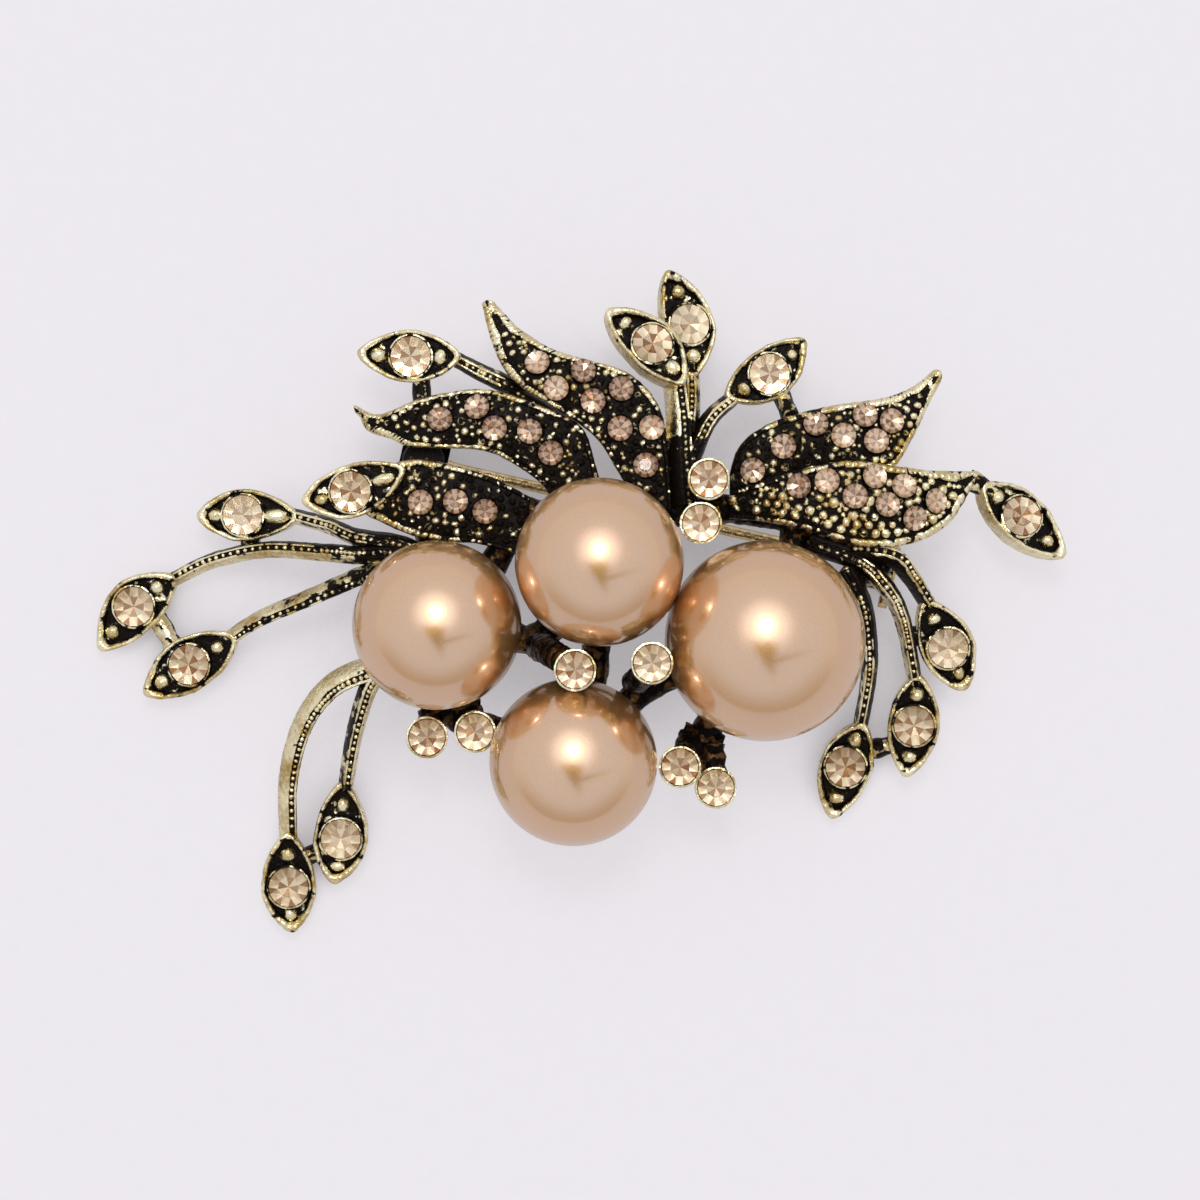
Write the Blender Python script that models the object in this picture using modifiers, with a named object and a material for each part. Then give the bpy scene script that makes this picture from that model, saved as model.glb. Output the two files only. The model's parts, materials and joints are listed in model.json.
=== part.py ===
"""Pearl spray brooch with a hinged pin and a roll-over catch, lying on its back with its face up (+Z)."""
import math

import bmesh
import bpy
from mathutils import Matrix, Vector

MM = 0.001

# Driving dimensions, in millimetres
SEAT_GAP = 0.06         # room left between pieces that are soldered, set or glued
RUN_GAP = 0.08          # room left round pieces that turn

FRAME_BACK = 6.4        # underside of the trellis over the pin
RAIL_HEIGHT = 1.3
RAIL_WIDTH = 2.1
FRAME_TOP = FRAME_BACK + RAIL_HEIGHT
LAP = FRAME_TOP + SEAT_GAP   # underside of what lies on the trellis

CUP_STONE = 1.40        # radius at the girdle
COLLET_STONE = 1.30
STONE_SIDES = 12
COLLAR = 0.12
CUP_HEIGHT = 1.9
CUP_FLOOR = 0.55        # depth of the cup's floor below its rim
CUP_RIM = 0.33
COLLET_RADIUS = 1.5
COLLET_HEIGHT = 1.9

STEM_WIDTH = 1.6
STEM_HEIGHT = 1.4
LINK_WIDTH = 1.2
LINK_HEIGHT = 1.1

LEAF_THICKNESS = 1.1
LEAF_RIM = 0.35
LEAF_CROWN = 0.5
PAVE_RADIUS = 0.88

PEG_RADIUS = 0.5
PEG_LENGTH = 3.0
DRILL_RADIUS = 0.62
DRILL_DEPTH = 3.6
PAD_RADIUS = 3.0
PAD_FLOOR = 0.6

PIN_HEIGHT = 1.8        # pin axis above the table
PIN_RADIUS = 0.4
HINGE = Vector((-11.3, 10.2))
CATCH = Vector((20.8, 2.9))
PIN_LENGTH = (CATCH - HINGE).length
PIN_PAST_CATCH = 2.6
PIN_HEADING = math.atan2(CATCH.y - HINGE.y, CATCH.x - HINGE.x)
PAD_OF_PIN = 1.5        # radius of the trellis pads over hinge and catch
BASE_TOP = FRAME_BACK - SEAT_GAP - PIN_HEIGHT    # heights on the pin work count from the pin axis
BASE_THICK = 0.6
EAR_GAP = 1.1
EAR_THICK = 0.8
RIVET_RADIUS = 0.38
EYE_RADIUS = 1.05
RING_OUTER = PIN_HEIGHT
RING_INNER = 1.2
RING_WIDTH = 2.4
SLOT = 1.2
BARREL_BORE = 0.62
TAB_REACH = 3.0

# Pearls: centre, radius
PEARLS = {
    "left": ((-10.2, -1.6, 12.5), 6.0),
    "top": ((1.3, 2.85, 15.3), 5.95),
    "right": ((13.0, -2.7, 13.3), 7.1),
    "bottom": ((-0.55, -11.3, 12.0), 5.95),
}

# Collets between the pearls: centre of the rim, then the stalk from the trellis up to the collet
COLLETS = [
    ((9.04, 8.75, 12.2), 0.55, [(9.7, 7.1, 7.0)]),
    ((8.48, 5.65, 12.0), 0.55, [(9.7, 6.2, 7.0)]),
    ((-0.41, -4.73, 16.9), 0.9, [(-3.0, -3.1, 6.6), (-2.4, -3.4, 11.5), (-1.2, -4.1, 14.1)]),
    ((4.98, -4.23, 17.5), 0.8, [(3.9, -5.7, 6.2), (4.3, -5.2, 11.0)]),
    ((-10.97, -9.6, 9.8), 0.85, [(-10.7, -8.0, 6.2)]),
    ((-7.55, -9.2, 10.0), 0.85, [(-8.0, -7.9, 6.2)]),
    ((7.02, -11.67, 11.2), 0.85, [(7.9, -9.8, 6.1)]),
    ((9.6, -13.2, 9.2), 0.85, [(9.3, -10.3, 6.1)]),
]

# Marquise cups: stone centre on the rim plane, outward heading and droop in degrees,
# reach outward and inward, half width, bow of the cup's length
CUPS = {
    1: ((-12.2, 17.6, 7.8), 178, 4, 3.9, 3.6, 1.90, 0.1),
    2: ((-16.4, 7.9, 10.3), -162, 4, 3.6, 4.2, 1.90, 0.35),
    3: ((-24.4, 6.3, 4.6), 179, 8, 3.4, 4.1, 1.90, -0.1),
    4: ((-32.4, -0.3, 2.5), -136, 8, 3.8, 3.7, 2.0, -0.5),
    5: ((-28.4, -4.5, 2.9), -148, 8, 3.7, 4.1, 2.0, -0.1),
    6: ((-17.4, -17.1, 2.9), -95, 8, 3.4, 4.2, 2.0, 0.2),
    7: ((-21.2, -20.6, 2.4), -88, 8, 3.4, 4.0, 2.0, -0.1),
    8: ((5.1, 18.5, 8.3), 136, 5, 4.1, 3.7, 1.90, -0.5),
    9: ((7.8, 20.0, 5.7), 103, 5, 4.2, 3.9, 1.90, -0.6),
    10: ((13.5, 16.4, 6.6), 36, 6, 3.6, 3.6, 1.90, -0.45),
    11: ((31.6, 6.2, 6.4), -41, 8, 4.38, 3.7, 1.90, 0.1),
    12: ((26.4, -3.3, 4.9), -65, 10, 3.4, 4.0, 2.0, 0.15),
    13: ((24.0, -8.9, 3.6), -96, 10, 3.9, 3.8, 1.90, 0.15),
    14: ((19.1, -11.9, 2.6), -108, 10, 4.0, 3.5, 1.95, -0.2),
}

# Sprigs: their cups, the undersides of their stems, and of their short links
SPRIGS = {
    "sprig_left": (
        (3, 4, 5),
        [
            [(-12.8, 3.4, 7.26), (-16.1, 3.4, 6.6), (-18.6, 3.6, 5.8), (-22.8, 3.8, 4.1), (-26.7, 3.0, 2.6),
             (-29.5, 1.7, 1.55)],
            [(-12.8, 4.2, 7.26), (-16.1, 4.7, 6.3), (-18.1, 5.5, 5.2), (-20.9, 6.3, 3.7)],
            [(-12.8, 2.8, 7.26), (-15.6, 2.0, 6.5), (-19.2, 0.5, 5.1), (-23.1, -1.1, 3.2),
             (-25.4, -2.5, 2.0)],
        ],
        [[(-23.9, 4.75, 2.9), (-23.9, 3.6, 3.6)], [(-30.8, -1.1, 0.95), (-29.5, -3.3, 1.25)]],
    ),
    "sprig_lower_left": (
        (6, 7),
        [
            [(-14.2, -4.4, 7.16), (-17.2, -5.5, 6.4), (-19.0, -7.2, 5.4), (-20.3, -9.7, 4.0),
             (-21.1, -13.2, 2.4), (-21.1, -17.2, 1.45)],
            [(-14.2, -4.7, 7.16), (-15.3, -6.2, 6.6), (-16.4, -9.7, 4.3), (-17.1, -13.5, 1.95)],
        ],
        [[(-18.8, -17.9, 1.2), (-20.4, -18.7, 1.0)]],
    ),
    "sprig_top": (
        (8, 9, 10),
        [
            [(7.6, 7.0, LAP), (7.7, 10.2, LAP), (7.4, 13.1, 7.4), (6.9, 15.9, 6.85)],
            [(7.6, 11.6, 7.3), (7.9, 14.2, 5.8), (7.9, 16.9, 4.45)],
            [(7.7, 10.0, LAP), (9.1, 13.0, 6.8), (11.0, 14.8, 5.4)],
        ],
        [[(14.4, 14.9, 4.9), (15.1, 13.0, 6.9)]],
    ),
    "sprig_right": (
        (12, 13, 14),
        [
            [(16.2, 4.2, LAP), (19.9, 2.9, LAP), (21.6, 1.3, 7.95), (22.6, -0.2, 6.8), (23.3, -2.1, 5.2),
             (24.1, -5.7, 2.85)],
            [(19.4, 3.5, LAP), (22.1, 3.2, 7.95), (23.4, 2.0, 6.6), (24.9, -0.1, 4.1)],
            [(19.0, 2.4, 7.85), (19.6, 1.2, 7.85), (20.3, -0.6, 7.0), (20.7, -3.2, 5.2), (20.7, -5.6, 3.6),
             (20.2, -9.0, 1.75)],
        ],
        [[(20.6, -10.8, 1.1), (22.5, -10.3, 1.5)], [(23.4, -2.3, 4.4), (24.9, -2.6, 3.5)]],
    ),
}

# Leaves: two edges from base to tip, height of the floor along the leaf, set stones as shares along
# and across, the bud that the leaf carries, and the stems and links that join it on
LEAVES = {
    "leaf_left_low": (
        [(-3.6, 7.3), (-5.6, 8.2), (-7.6, 9.0), (-10.1, 9.7), (-12.4, 9.9), (-14.7, 9.2), (-16.5, 7.9)],
        [(-4.4, 3.8), (-7.6, 4.7), (-9.6, 4.8), (-11.8, 5.0), (-13.8, 5.6), (-15.6, 6.4), (-16.7, 7.2)],
        (8.86, 8.86, 8.86, 8.86, 8.86, 8.7, 8.6),
        [(0.53, 0.6), (0.37, 0.5), (0.19, 0.55)],
        2, [], [],
    ),
    "leaf_left_mid": (
        [(2.2, 6.5), (1.2, 9.2), (-0.2, 12.3), (-3.0, 13.7), (-6.9, 15.0), (-11.1, 14.7), (-14.4, 13.5),
         (-16.1, 13.9)],
        [(-1.4, 5.9), (-2.7, 8.3), (-5.2, 10.1), (-7.4, 10.9), (-12.0, 11.1), (-13.6, 11.7), (-15.3, 12.3),
         (-16.1, 13.5)],
        (8.86, 8.86, 8.86, 8.86, 8.8, 8.0, 7.0, 6.6),
        [(0.59, 0.55), (0.54, 0.3), (0.46, 0.55), (0.37, 0.45), (0.25, 0.53)],
        1, [[(-9.1, 17.5, 6.35), (-7.0, 16.4, 6.2), (-4.9, 15.5, 6.0)]],
        [[(-11.5, 16.4, 6.2), (-11.4, 14.0, 6.9)]],
    ),
    "leaf_top": (
        [(4.2, 6.5), (2.7, 9.2), (0.9, 11.9), (-2.4, 14.2), (-4.2, 15.3), (-5.6, 16.8), (-6.5, 18.9),
         (-6.9, 21.4)],
        [(6.5, 6.5), (6.2, 10.9), (5.5, 14.1), (3.3, 16.4), (-0.2, 17.5), (-2.2, 18.2), (-4.4, 19.6),
         (-6.5, 21.4)],
        (8.86, 8.86, 8.9, 8.8, 8.5, 8.0, 7.5, 7.6),
        [(0.65, 0.53), (0.48, 0.27), (0.5, 0.72), (0.38, 0.4), (0.38, 0.75), (0.27, 0.36), (0.23, 0.78),
         (0.13, 0.52)],
        None, [], [],
    ),
    "leaf_right_high": (
        [(10.6, 9.3), (11.4, 11.3), (13.7, 12.9), (17.7, 14.0), (21.0, 14.5), (22.8, 15.0), (24.1, 15.7),
         (25.3, 16.6)],
        [(10.6, 8.2), (12.2, 9.0), (15.6, 10.1), (19.1, 10.7), (22.3, 10.4), (23.6, 11.8), (24.9, 14.2),
         (25.8, 16.2)],
        (8.86, 8.86, 8.9, 8.8, 8.4, 8.0, 7.6, 7.6),
        [(0.16, 0.7), (0.28, 0.57), (0.38, 0.3), (0.44, 0.6), (0.52, 0.2), (0.54, 0.68), (0.62, 0.42)],
        None, [], [],
    ),
    "leaf_right_low": (
        [(10.6, 7.6), (12.2, 8.3), (15.5, 9.4), (19.1, 10.1), (22.6, 9.7), (25.3, 9.4), (28.2, 9.4)],
        [(10.6, 6.0), (12.7, 5.8), (15.9, 5.2), (19.9, 4.0), (23.5, 4.2), (26.3, 5.7), (28.3, 8.9)],
        (8.86, 9.5, 10.3, 10.4, 9.6, 8.6, 7.4),
        [(0.33, 0.27), (0.42, 0.23), (0.5, 0.42), (0.57, 0.18), (0.6, 0.5), (0.67, 0.27), (0.69, 0.68),
         (0.79, 0.52)],
        11, [], [[(27.7, 8.9, 6.4), (29.6, 7.9, 5.4)]],
    ),
}

# Rails of the trellis, by their undersides
RAILS = [
    [(-11.3, 9.6, 6.4), (-7.2, 7.6, 6.4), (-2.6, 6.2, 6.4), (1.4, 5.7, 6.4), (7.8, 6.6, 6.4),
     (11.7, 6.6, 6.4), (16.0, 5.6, 6.4), (20.7, 3.0, 6.4)],
    [(-11.2, 9.6, 6.4), (-10.9, 5.0, 6.2), (-10.4, 1.0, 5.7)],
    [(1.55, 5.2, 6.46), (1.3, 2.8, 6.46)],
    [(-7.6, -0.7, 5.7), (-3.4, -2.6, 6.0), (1.2, 2.2, 6.4)],
    [(-0.4, -8.7, 5.15), (0.9, -4.9, 5.6), (1.3, 2.6, 6.4)],
    [(1.5, -9.6, 5.15), (4.4, -6.3, 5.4), (10.2, -3.7, 5.45)],
    [(-9.9, -4.2, 5.7), (-9.3, -7.9, 5.6), (-6.2, -9.2, 5.3), (-3.2, -10.5, 5.15)],
    [(-11.4, -8.0, 5.6), (-7.2, -7.8, 5.6)],
    [(11.4, -5.0, 5.45), (8.6, -9.8, 5.5)],
    [(7.2, -9.5, 5.5), (10.0, -10.5, 5.5)],
    [(15.1, -0.7, 5.45), (15.4, 2.6, 6.4), (15.2, 5.6, 6.4)],
    [(15.9, -2.1, 5.45), (17.2, -0.6, 5.9), (18.4, 0.6, 6.38), (20.6, 3.0, 6.4)],
    [(-11.6, 1.0, 5.68), (-13.3, 3.2, 5.72)],
    [(-12.8, -2.9, 5.65), (-14.5, -4.4, 5.65)],
    [(12.2, 6.7, 6.4), (14.6, 11.2, 6.4)],
    [(3.6, 1.7, 6.46), (10.3, -1.4, 5.45)],
    [(-8.4, 0.4, 5.7), (-6.4, 3.6, 6.2), (-4.2, 6.6, 6.36)],
]

for old in list(bpy.data.objects):
    bpy.data.objects.remove(old)
parts = bpy.data.collections.new("brooch")
bpy.context.scene.collection.children.link(parts)


def material(name, colour, metallic, roughness):
    made = bpy.data.materials.new(name)
    made.use_nodes = True
    shader = made.node_tree.nodes["Principled BSDF"]
    shader.inputs["Base Color"].default_value = (*colour, 1.0)
    shader.inputs["Metallic"].default_value = metallic
    shader.inputs["Roughness"].default_value = roughness
    return made


ANTIQUE_GOLD = material("antique_gold", (0.46, 0.35, 0.17), 1.0, 0.35)
TRELLIS_GOLD = material("trellis_gold", (0.22, 0.15, 0.08), 1.0, 0.45)
PEARL_COAT = material("pearl_coat", (0.62, 0.42, 0.30), 0.1, 0.15)
CHAMPAGNE = material("champagne_glass", (0.80, 0.60, 0.42), 0.0, 0.05)
PIN_STEEL = material("gilt_pin", (0.70, 0.58, 0.34), 1.0, 0.25)


def add(name, mesh, finish=None, matrix=None, parent=None):
    """Puts a mesh in the scene as one named object."""
    obj = bpy.data.objects.new(name, mesh)
    parts.objects.link(obj)
    if finish:
        mesh.materials.clear()
        mesh.materials.append(finish)
    obj.parent = parent
    if matrix:
        obj.matrix_basis = matrix
    return obj


def mesh_of(bm, name):
    bmesh.ops.recalc_face_normals(bm, faces=bm.faces)
    mesh = bpy.data.meshes.new(name)
    bm.to_mesh(mesh)
    bm.free()
    return mesh


def baked(obj, name):
    """The object's shape as a plain welded mesh, with the object itself removed."""
    bpy.context.view_layer.update()
    shape = obj.evaluated_get(bpy.context.evaluated_depsgraph_get())
    mesh = bpy.data.meshes.new_from_object(shape)
    mesh.transform(obj.matrix_world)
    mesh.name = name
    if obj.type == "CURVE":
        bm = bmesh.new()
        bm.from_mesh(mesh)
        bmesh.ops.remove_doubles(bm, verts=bm.verts, dist=1e-7)
        bmesh.ops.recalc_face_normals(bm, faces=bm.faces)
        bm.to_mesh(mesh)
        bm.free()
    bpy.data.objects.remove(obj)
    return mesh


def boolean(body, other, operation):
    change = body.modifiers.new(operation.lower(), "BOOLEAN")
    change.operation = operation
    change.solver = "EXACT"
    change.object = other


def combine(name, body, joined=(), cut=()):
    """One mesh from a body, the pieces joined to it and the pieces cut from it, which are then removed."""
    for other in joined:
        boolean(body, other, "UNION")
    for other in cut:
        boolean(body, other, "DIFFERENCE")
    mesh = baked(body, name)
    for other in (*joined, *cut):
        bpy.data.objects.remove(other)
    return mesh


def circle(radius):
    return lambda turn: (radius * math.cos(turn), radius * math.sin(turn))


def marquise(reach_out, reach_in, half_width, bow):
    """Pointed oval round the origin, its tips swept sideways by the bow."""
    def outline(turn):
        along, side = math.cos(turn), math.sin(turn)
        x = along * (reach_out if along > 0 else reach_in)
        return x, half_width * math.copysign(abs(side) ** 1.7, side) - bow * along ** 2
    return outline


def ring_stack(rings, sides=STONE_SIDES):
    """Closed solid through rings of (outline, height), which may go up the outside and down a recess."""
    bm = bmesh.new()
    face = bmesh.ops.create_circle(bm, cap_ends=True, segments=sides, radius=1.0)["verts"][0].link_faces[0]
    base = face
    for _ in rings[1:]:
        made = bmesh.ops.extrude_face_region(bm, geom=[face])["geom"]
        if face is not base:
            bmesh.ops.delete(bm, geom=[face], context="FACES_ONLY")
        face = next(item for item in made if isinstance(item, bmesh.types.BMFace))
        bmesh.ops.translate(bm, verts=list(face.verts), vec=(0, 0, 1))
    for vert in bm.verts:
        outline, height = rings[round(vert.co.z)]
        x, y = outline(math.atan2(vert.co.y, vert.co.x))
        vert.co = Vector((x, y, height)) * MM
    return mesh_of(bm, "rings")


def rail(points, width, height):
    """Cast rail with a flat underside along the points, sloping sides and a ridged top."""
    outline = [(-0.5, 0.0), (0.5, 0.0), (0.34, 0.86), (0.0, 1.0), (-0.34, 0.86)]
    profile_data = bpy.data.curves.new("rail_profile", "CURVE")
    profile_spline = profile_data.splines.new("POLY")
    profile_spline.points.add(len(outline) - 1)
    for point, (x, y) in zip(profile_spline.points, outline):
        point.co = (x * width * MM, y * height * MM, 0, 1)
    profile_spline.use_cyclic_u = True
    profile = add("rail_profile", profile_data)

    path_data = bpy.data.curves.new("rail_path", "CURVE")
    path_data.dimensions = "3D"
    path_data.twist_mode = "Z_UP"
    path_data.resolution_u = 2
    path_data.bevel_mode = "OBJECT"
    path_data.bevel_object = profile
    path_data.use_fill_caps = True
    spline = path_data.splines.new("BEZIER")
    spline.bezier_points.add(len(points) - 1)
    for point, place in zip(spline.bezier_points, points):
        point.co = Vector(place) * MM
        point.handle_left_type = point.handle_right_type = "AUTO"
    made = add("rail", baked(add("rail_path", path_data), "rail"))
    bpy.data.objects.remove(profile)
    return made


def stalk(points, radius):
    """Tapered post through the points."""
    data = bpy.data.curves.new("stalk", "CURVE")
    data.dimensions = "3D"
    data.bevel_depth = radius * MM
    data.bevel_resolution = 1
    data.use_fill_caps = True
    spline = data.splines.new("POLY")
    spline.points.add(len(points) - 1)
    for index, (point, place) in enumerate(zip(spline.points, points)):
        point.co = (*(Vector(place) * MM), 1)
        point.radius = 1.25 - 0.25 * index / (len(points) - 1)
    return add("stalk", baked(add("stalk_path", data), "stalk"))


def seat_rings(stone_radius, top):
    """Rings of the recess for a stone, from its rim down to the culet."""
    bore = circle(stone_radius + SEAT_GAP)
    return [(bore, top), (bore, top - 0.35), (circle(0.36), top - 1.3)]


def stone(name, radius, matrix):
    rings = [(circle(0.3), -1.15), (circle(radius), -0.28), (circle(0.58 * radius), 0.34)]
    return add(name, ring_stack(rings), CHAMPAGNE, matrix)


def cup_matrix(cup):
    place, heading, droop = cup[:3]
    turn = Matrix.Rotation(math.radians(heading), 4, "Z") @ Matrix.Rotation(math.radians(droop), 4, "Y")
    return Matrix.Translation(Vector(place) * MM) @ turn


def cup(number):
    """Marquise cup with drafted walls, a sunk floor and a collar round its stone's seat."""
    reach_out, reach_in, half_width, bow = CUPS[number][3:]
    collar = circle(CUP_STONE + COLLAR)

    def inset(depth):
        return marquise(reach_out - 1.5 * depth, reach_in - 1.5 * depth, half_width - depth, bow)
    rings = [
        (inset(0.0), -CUP_HEIGHT),
        (inset(0.06), 0.0),
        (inset(CUP_RIM), 0.0),
        (inset(CUP_RIM + 0.03), -CUP_FLOOR),
        (collar, -CUP_FLOOR),
        (collar, 0.05),
        *seat_rings(CUP_STONE, 0.05),
    ]
    return add("cup", ring_stack(rings), None, cup_matrix(CUPS[number]))


def along(points, share):
    """Smooth curve through the points (Catmull-Rom), at a share of its length."""
    last = len(points) - 1
    index = min(int(share * last), last - 1)
    t = share * last - index
    before, start, end, after = (Vector(points[max(0, min(last, index + step))]) for step in (-1, 0, 1, 2))
    bend = (2 * before - 5 * start + 4 * end - after) * t * t
    bend += (3 * start - before - 3 * end + after) * t ** 3
    return 0.5 * (2 * start + (end - before) * t + bend)


def leaf_floor(leaf, u, v):
    """A point of the leaf's floor, at shares along and across."""
    left, right, heights = leaf[:3]
    flat = along(left, u).lerp(along(right, u), v)
    height = along([(z,) * 2 for z in heights], u).x
    return Vector((*flat, height + LEAF_CROWN * 4 * v * (1 - v) * math.sin(math.pi * min(0.9, u)) ** 0.5))


def leaf_blade(leaf):
    """Leaf with a raised rim along both edges and a crowned floor."""
    stations = ((0.0, LEAF_RIM), (0.08, LEAF_RIM), (0.15, 0.0), (0.5, 0.0), (0.85, 0.0), (0.92, LEAF_RIM),
                (1.0, LEAF_RIM))
    lengthwise = 10
    bm = bmesh.new()
    bmesh.ops.create_grid(bm, x_segments=lengthwise, y_segments=len(stations) - 1, size=0.5)
    for vert in bm.verts:
        across, lift = stations[round((vert.co.y + 0.5) * (len(stations) - 1))]
        vert.co = leaf_floor(leaf, vert.co.x + 0.5, across) * MM + Vector((0, 0, lift * MM))
    lower = bmesh.ops.extrude_face_region(bm, geom=list(bm.faces))["geom"]
    for item in lower:
        if isinstance(item, bmesh.types.BMVert):
            item.co.z -= LEAF_THICKNESS * MM
    return add("blade", mesh_of(bm, "blade"))


def set_stone(leaf, u, v):
    """Small stone fused to the leaf's floor, square to it."""
    place = leaf_floor(leaf, u, v)
    slope_u = leaf_floor(leaf, u + 0.02, v) - leaf_floor(leaf, u - 0.02, v)
    slope_v = leaf_floor(leaf, u, v + 0.05) - leaf_floor(leaf, u, v - 0.05)
    normal = slope_u.cross(slope_v)
    if normal.z < 0:
        normal.negate()
    turn = normal.to_track_quat("Z", "Y").to_matrix().to_4x4()
    rings = [
        (circle(0.8 * PAVE_RADIUS), -0.5),
        (circle(PAVE_RADIUS), 0.12),
        (circle(0.55 * PAVE_RADIUS), 0.45),
    ]
    return add("set_stone", ring_stack(rings, 6), None, Matrix.Translation(place * MM) @ turn)


def build_leaves():
    for name, leaf in LEAVES.items():
        stones, bud, stems, links = leaf[3:]
        joined = [set_stone(leaf, u, v) for u, v in stones]
        if bud:
            joined.append(cup(bud))
        joined += [rail(points, STEM_WIDTH, STEM_HEIGHT) for points in stems]
        joined += [rail(points, LINK_WIDTH, LINK_HEIGHT) for points in links]
        add(name, combine(name, leaf_blade(leaf), joined), ANTIQUE_GOLD)


def build_sprigs():
    for name, (cups, stems, links) in SPRIGS.items():
        joined = [cup(number) for number in cups]
        joined += [rail(points, STEM_WIDTH, STEM_HEIGHT) for points in stems]
        joined += [rail(points, LINK_WIDTH, LINK_HEIGHT) for points in links]
        add(name, combine(name, joined[0], joined[1:]), ANTIQUE_GOLD)


def pearl_pad(place, radius):
    """Dished seat under a pearl, with the peg that goes into the pearl's drilled hole."""
    x, y, z = place

    def dish(away):
        facet = math.cos(math.pi / STONE_SIDES)
        return z - SEAT_GAP - math.sqrt(radius ** 2 - (facet * away) ** 2)
    back = min(FRAME_BACK, dish(0.0) - PAD_FLOOR)
    peg = circle(PEG_RADIUS)
    rings = [
        (circle(PAD_RADIUS - 0.2), back),
        (circle(PAD_RADIUS), dish(PAD_RADIUS) - 0.15),
        (circle(PAD_RADIUS - 0.1), dish(PAD_RADIUS) - 0.05),
        (circle(0.55 * PAD_RADIUS), dish(0.55 * PAD_RADIUS)),
        (peg, dish(PEG_RADIUS)),
        (peg, z - radius + PEG_LENGTH - 0.15),
        (circle(PEG_RADIUS - 0.15), z - radius + PEG_LENGTH),
    ]
    return add("pad", ring_stack(rings), None, Matrix.Translation(Vector((x, y, 0)) * MM))


def build_trellis():
    """Openwork casting that carries the pearls, leaves, sprigs, collets and pin work."""
    joined = [rail(points, RAIL_WIDTH, RAIL_HEIGHT) for points in RAILS]
    joined += [pearl_pad(place, radius) for place, radius in PEARLS.values()]
    for place, radius, points in COLLETS:
        x, y, z = place
        foot = z - COLLET_HEIGHT
        joined.append(stalk([*points, (x, y, foot - 0.7), (x, y, foot - SEAT_GAP)], radius))
    pin_pad = [(circle(PAD_OF_PIN), FRAME_BACK), (circle(PAD_OF_PIN - 0.15), FRAME_TOP - 0.05)]
    for place in (HINGE, CATCH):
        joined.append(add("pin_pad", ring_stack(pin_pad, 16), None, Matrix.Translation(place.to_3d() * MM)))
    add("trellis", combine("trellis", joined[0], joined[1:]), TRELLIS_GOLD)


def build_collets():
    rings = [
        (circle(COLLET_RADIUS - 0.25), -COLLET_HEIGHT),
        (circle(COLLET_RADIUS), 0.0),
        *seat_rings(COLLET_STONE, 0.0),
    ]
    for index, (place, _, _) in enumerate(COLLETS, 1):
        add(f"collet_{index}", ring_stack(rings), ANTIQUE_GOLD, Matrix.Translation(Vector(place) * MM))


def build_stones():
    for number, values in CUPS.items():
        raise_to_collar = Matrix.Translation((0, 0, 0.05 * MM))
        stone(f"cup_stone_{number:02d}", CUP_STONE, cup_matrix(values) @ raise_to_collar)
    for index, (place, _, _) in enumerate(COLLETS, 1):
        stone(f"collet_stone_{index}", COLLET_STONE, Matrix.Translation(Vector(place) * MM))


def lathe(name, profile, steps):
    """Object turned from (radius, height) points that run down the outside."""
    mesh = bpy.data.meshes.new(name)
    bm = bmesh.new()
    verts = [bm.verts.new((radius * MM, 0, height * MM)) for radius, height in profile]
    for first, second in zip(verts, verts[1:]):
        bm.edges.new((first, second))
    bm.to_mesh(mesh)
    bm.free()
    obj = add(name, mesh)
    turn = obj.modifiers.new("turn", "SCREW")
    turn.steps = turn.render_steps = steps
    turn.use_merge_vertices = True
    turn.merge_threshold = 0.00001
    return obj


def build_pearls():
    for key, (place, radius) in PEARLS.items():
        start = math.asin(DRILL_RADIUS / radius)
        outside = []
        rows = 9
        for row in range(rows + 1):
            polar = (math.pi - start) * row / rows
            outside.append((radius * math.sin(polar), radius * math.cos(polar)))
        drill = [(DRILL_RADIUS, DRILL_DEPTH - radius), (0.0, DRILL_DEPTH - radius)]
        mesh = baked(lathe("pearl_shape", [*outside, *drill], 20), f"pearl_{key}")
        add(f"pearl_{key}", mesh, PEARL_COAT, Matrix.Translation(Vector(place) * MM))


def box(low, high):
    bm = bmesh.new()
    bmesh.ops.create_cube(bm, size=1.0)
    low, high = Vector(low), Vector(high)
    for vert in bm.verts:
        vert.co = Vector((low[i] + (vert.co[i] + 0.5) * (high[i] - low[i]) for i in range(3))) * MM
    return add("box", mesh_of(bm, "box"))


def rod(axis, centre, radius, start, end, sides=16):
    """Cylinder along X or Y of the pin work."""
    bm = bmesh.new()
    bmesh.ops.create_cone(bm, cap_ends=True, segments=sides, radius1=radius * MM, radius2=radius * MM,
                          depth=(end - start) * MM)
    turn = Matrix.Rotation(math.pi / 2, 4, "Y" if axis == "X" else "X")
    middle = (start + end) / 2
    shift = (middle, centre[0], centre[1]) if axis == "X" else (centre[0], middle, centre[1])
    bmesh.ops.transform(bm, matrix=Matrix.Translation(Vector(shift) * MM) @ turn, verts=bm.verts)
    return add("rod", mesh_of(bm, "rod"))


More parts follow.
